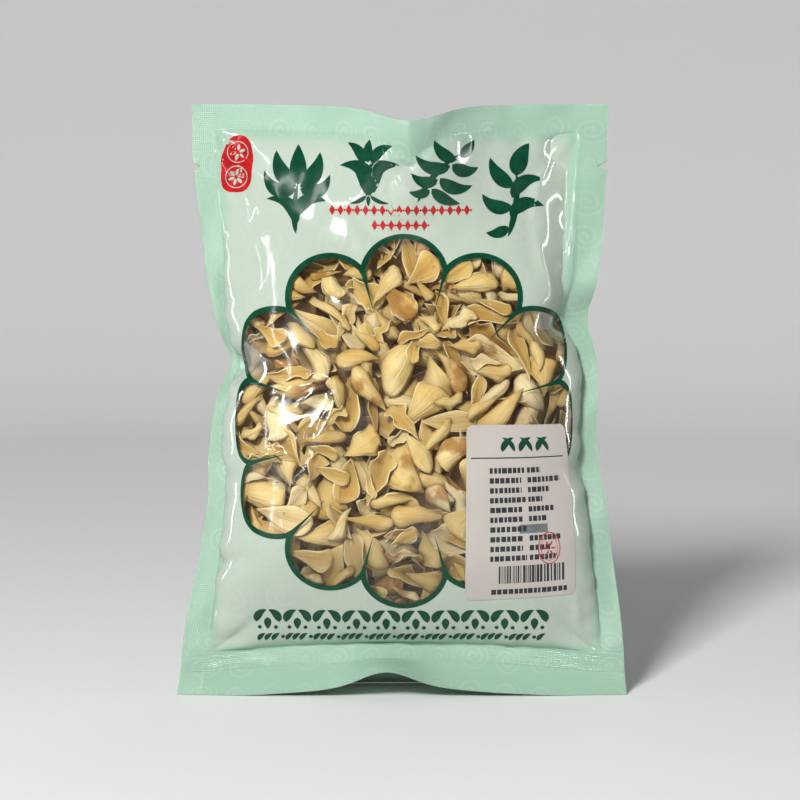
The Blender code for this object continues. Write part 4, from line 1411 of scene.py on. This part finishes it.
class PACKET_OT_stage(bpy.types.Operator):
    """Pale round floor that curves up into a wall, soft lights and the camera"""
    bl_idname = "packet.stage"
    bl_label = "Studio"

    def execute(self, context):
        s = context.scene.packet_stage
        bm = bmesh.new()
        reach, turn, wall = 2.05, 0.42, 1.1
        angles = np.linspace(0.0, math.pi / 2, 15)
        line = [(0.0, 0.0), *((reach + turn * math.sin(a), turn * (1.0 - math.cos(a))) for a in angles),
                (reach + turn, wall)]
        verts = [bm.verts.new((r, 0.0, z)) for r, z in line]
        for first, second in zip(verts, verts[1:]):
            bm.edges.new((first, second))
        bmesh.ops.spin(bm, geom=bm.verts[:] + bm.edges[:], cent=(0.0, 0.0, 0.0), axis=(0.0, 0.0, 1.0),
                       angle=2.0 * math.pi, steps=96, use_merge=True)
        bmesh.ops.remove_doubles(bm, verts=bm.verts, dist=1e-5)
        bmesh.ops.recalc_face_normals(bm, faces=bm.faces)
        bmesh.ops.translate(bm, verts=bm.verts, vec=(0.0, -1.0, 0.0))
        mesh = finished_mesh(bm, "sweep")
        f = Finish("pale_paper_sweep")
        body = f.body()
        grain = f.noise(body, 700.0)
        height = f.split(body)[2]
        # Painted shade: the sweep is darker up its wall than on its floor
        shade = f.blend(height.between(0.02, 0.45), (0.83, 0.83, 0.82), (0.74, 0.74, 0.74))
        mesh.materials.append(f.done(f.surface({
            "Base Color": shade, "Roughness": 0.75, "Specular IOR Level": 0.0,
            "Normal": f.bump(grain, 0.05, 0.0002)})))
        mesh.shade_smooth()
        sweep = linked("sweep", mesh)
        self.lights(context, s)
        self.camera(context, s)
        return {"FINISHED"}

    def lights(self, context, s):
        target = Vector((0.0, 0.0, 0.14))
        for name, place, width, height, power, mirrored in (
                ("key", (-0.62, -1.55, 1.26), 0.38, 0.5, s.key, False),
                ("glint", (-0.46, -1.41, 0.41), 0.22, 0.20, s.strip * 3.2, True),
                ("glow", (-0.43, -1.44, 0.38), 0.42, 0.34, s.strip * 0.25, True),
                ("strip_left", (-0.72, -1.05, 0.40), 0.02, 0.8, s.strip * 1.2, True),
                ("strip_far_left", (-1.15, -0.12, 0.40), 0.06, 0.9, s.strip * 2.0, True),
                ("strip_right", (1.12, -0.30, 0.40), 0.06, 0.9, s.strip * 2.0, True),
                ("strip_top", (0.1, -0.12, 1.35), 0.9, 0.05, s.strip, True),
                ("top", (0.0, 0.5, 2.0), 1.6, 1.0, s.key * 0.015, False),
                ("behind", (0.55, 1.15, 1.20), 0.6, 0.6, s.key * 0.04, False)):
            data = bpy.data.lights.new(name, "AREA")
            data.shape = "RECTANGLE"
            data.size, data.size_y = width, height
            data.energy = power
            lamp = linked(name, data)
            lamp.visible_glossy = mirrored
            lamp.visible_diffuse = not mirrored
            lamp.location = place
            lamp.rotation_mode = "QUATERNION"
            lamp.rotation_quaternion = (Vector(place) - target).to_track_quat("Z", "Y")
        world = bpy.data.worlds.new("studio_air")
        world.use_nodes = True
        air = world.node_tree.nodes["Background"].inputs
        air["Color"].default_value = (0.93, 0.95, 1.0, 1.0)
        air["Strength"].default_value = 0.11
        context.scene.world = world
        context.scene.view_settings.view_transform = "Standard"

    def camera(self, context, s):
        data = bpy.data.cameras.new("camera")
        data.lens = s.focal
        data.sensor_width = 36.0
        data.shift_x = -0.0025
        data.clip_start, data.clip_end = 0.05, 30.0
        camera = linked("camera", data)
        target = Vector((0.0, -MIDDLE_DEPTH * MM, 0.148))
        away = Vector((0.0, -math.cos(s.elevation), math.sin(s.elevation)))
        camera.location = target + away * s.distance
        camera.rotation_mode = "QUATERNION"
        camera.rotation_quaternion = away.to_track_quat("Z", "Y")
        context.scene.camera = camera


class PACKET_PT_panel(bpy.types.Panel):
    """Lists the packet's pieces and their settings"""
    bl_idname = "PACKET_PT_panel"
    bl_label = "Packet"
    bl_space_type = "VIEW_3D"
    bl_region_type = "UI"
    bl_category = "Packet"

    def draw(self, context):
        layout = self.layout
        for group in ("packet_film", "packet_label", "packet_heap", "packet_stage"):
            box = layout.box()
            settings = getattr(context.scene, group)
            for name in settings.__annotations__:
                box.prop(settings, name)
        for operator in PIECES:
            layout.operator(operator.bl_idname)


PIECES = (PACKET_OT_front_film, PACKET_OT_clear_window, PACKET_OT_back_film, PACKET_OT_petal_outline,
          PACKET_OT_leaf_print, PACKET_OT_red_print, PACKET_OT_label, PACKET_OT_label_print,
          PACKET_OT_scale_heap, PACKET_OT_stage)
GROUPS = {"packet_film": FilmSettings, "packet_label": LabelSettings,
          "packet_heap": HeapSettings, "packet_stage": StageSettings}


def register():
    for group in GROUPS.values():
        bpy.utils.register_class(group)
    for name, group in GROUPS.items():
        setattr(bpy.types.Scene, name, PointerProperty(type=group))
    for operator in PIECES:
        bpy.utils.register_class(operator)
    bpy.utils.register_class(PACKET_PT_panel)


def unregister():
    bpy.utils.unregister_class(PACKET_PT_panel)
    for operator in reversed(PIECES):
        bpy.utils.unregister_class(operator)
    for name, group in GROUPS.items():
        delattr(bpy.types.Scene, name)
        bpy.utils.unregister_class(group)


def main():
    register()
    for operator in PIECES:
        group, name = operator.bl_idname.split(".")
        getattr(getattr(bpy.ops, group), name)()


if __name__ == "__main__":
    main()
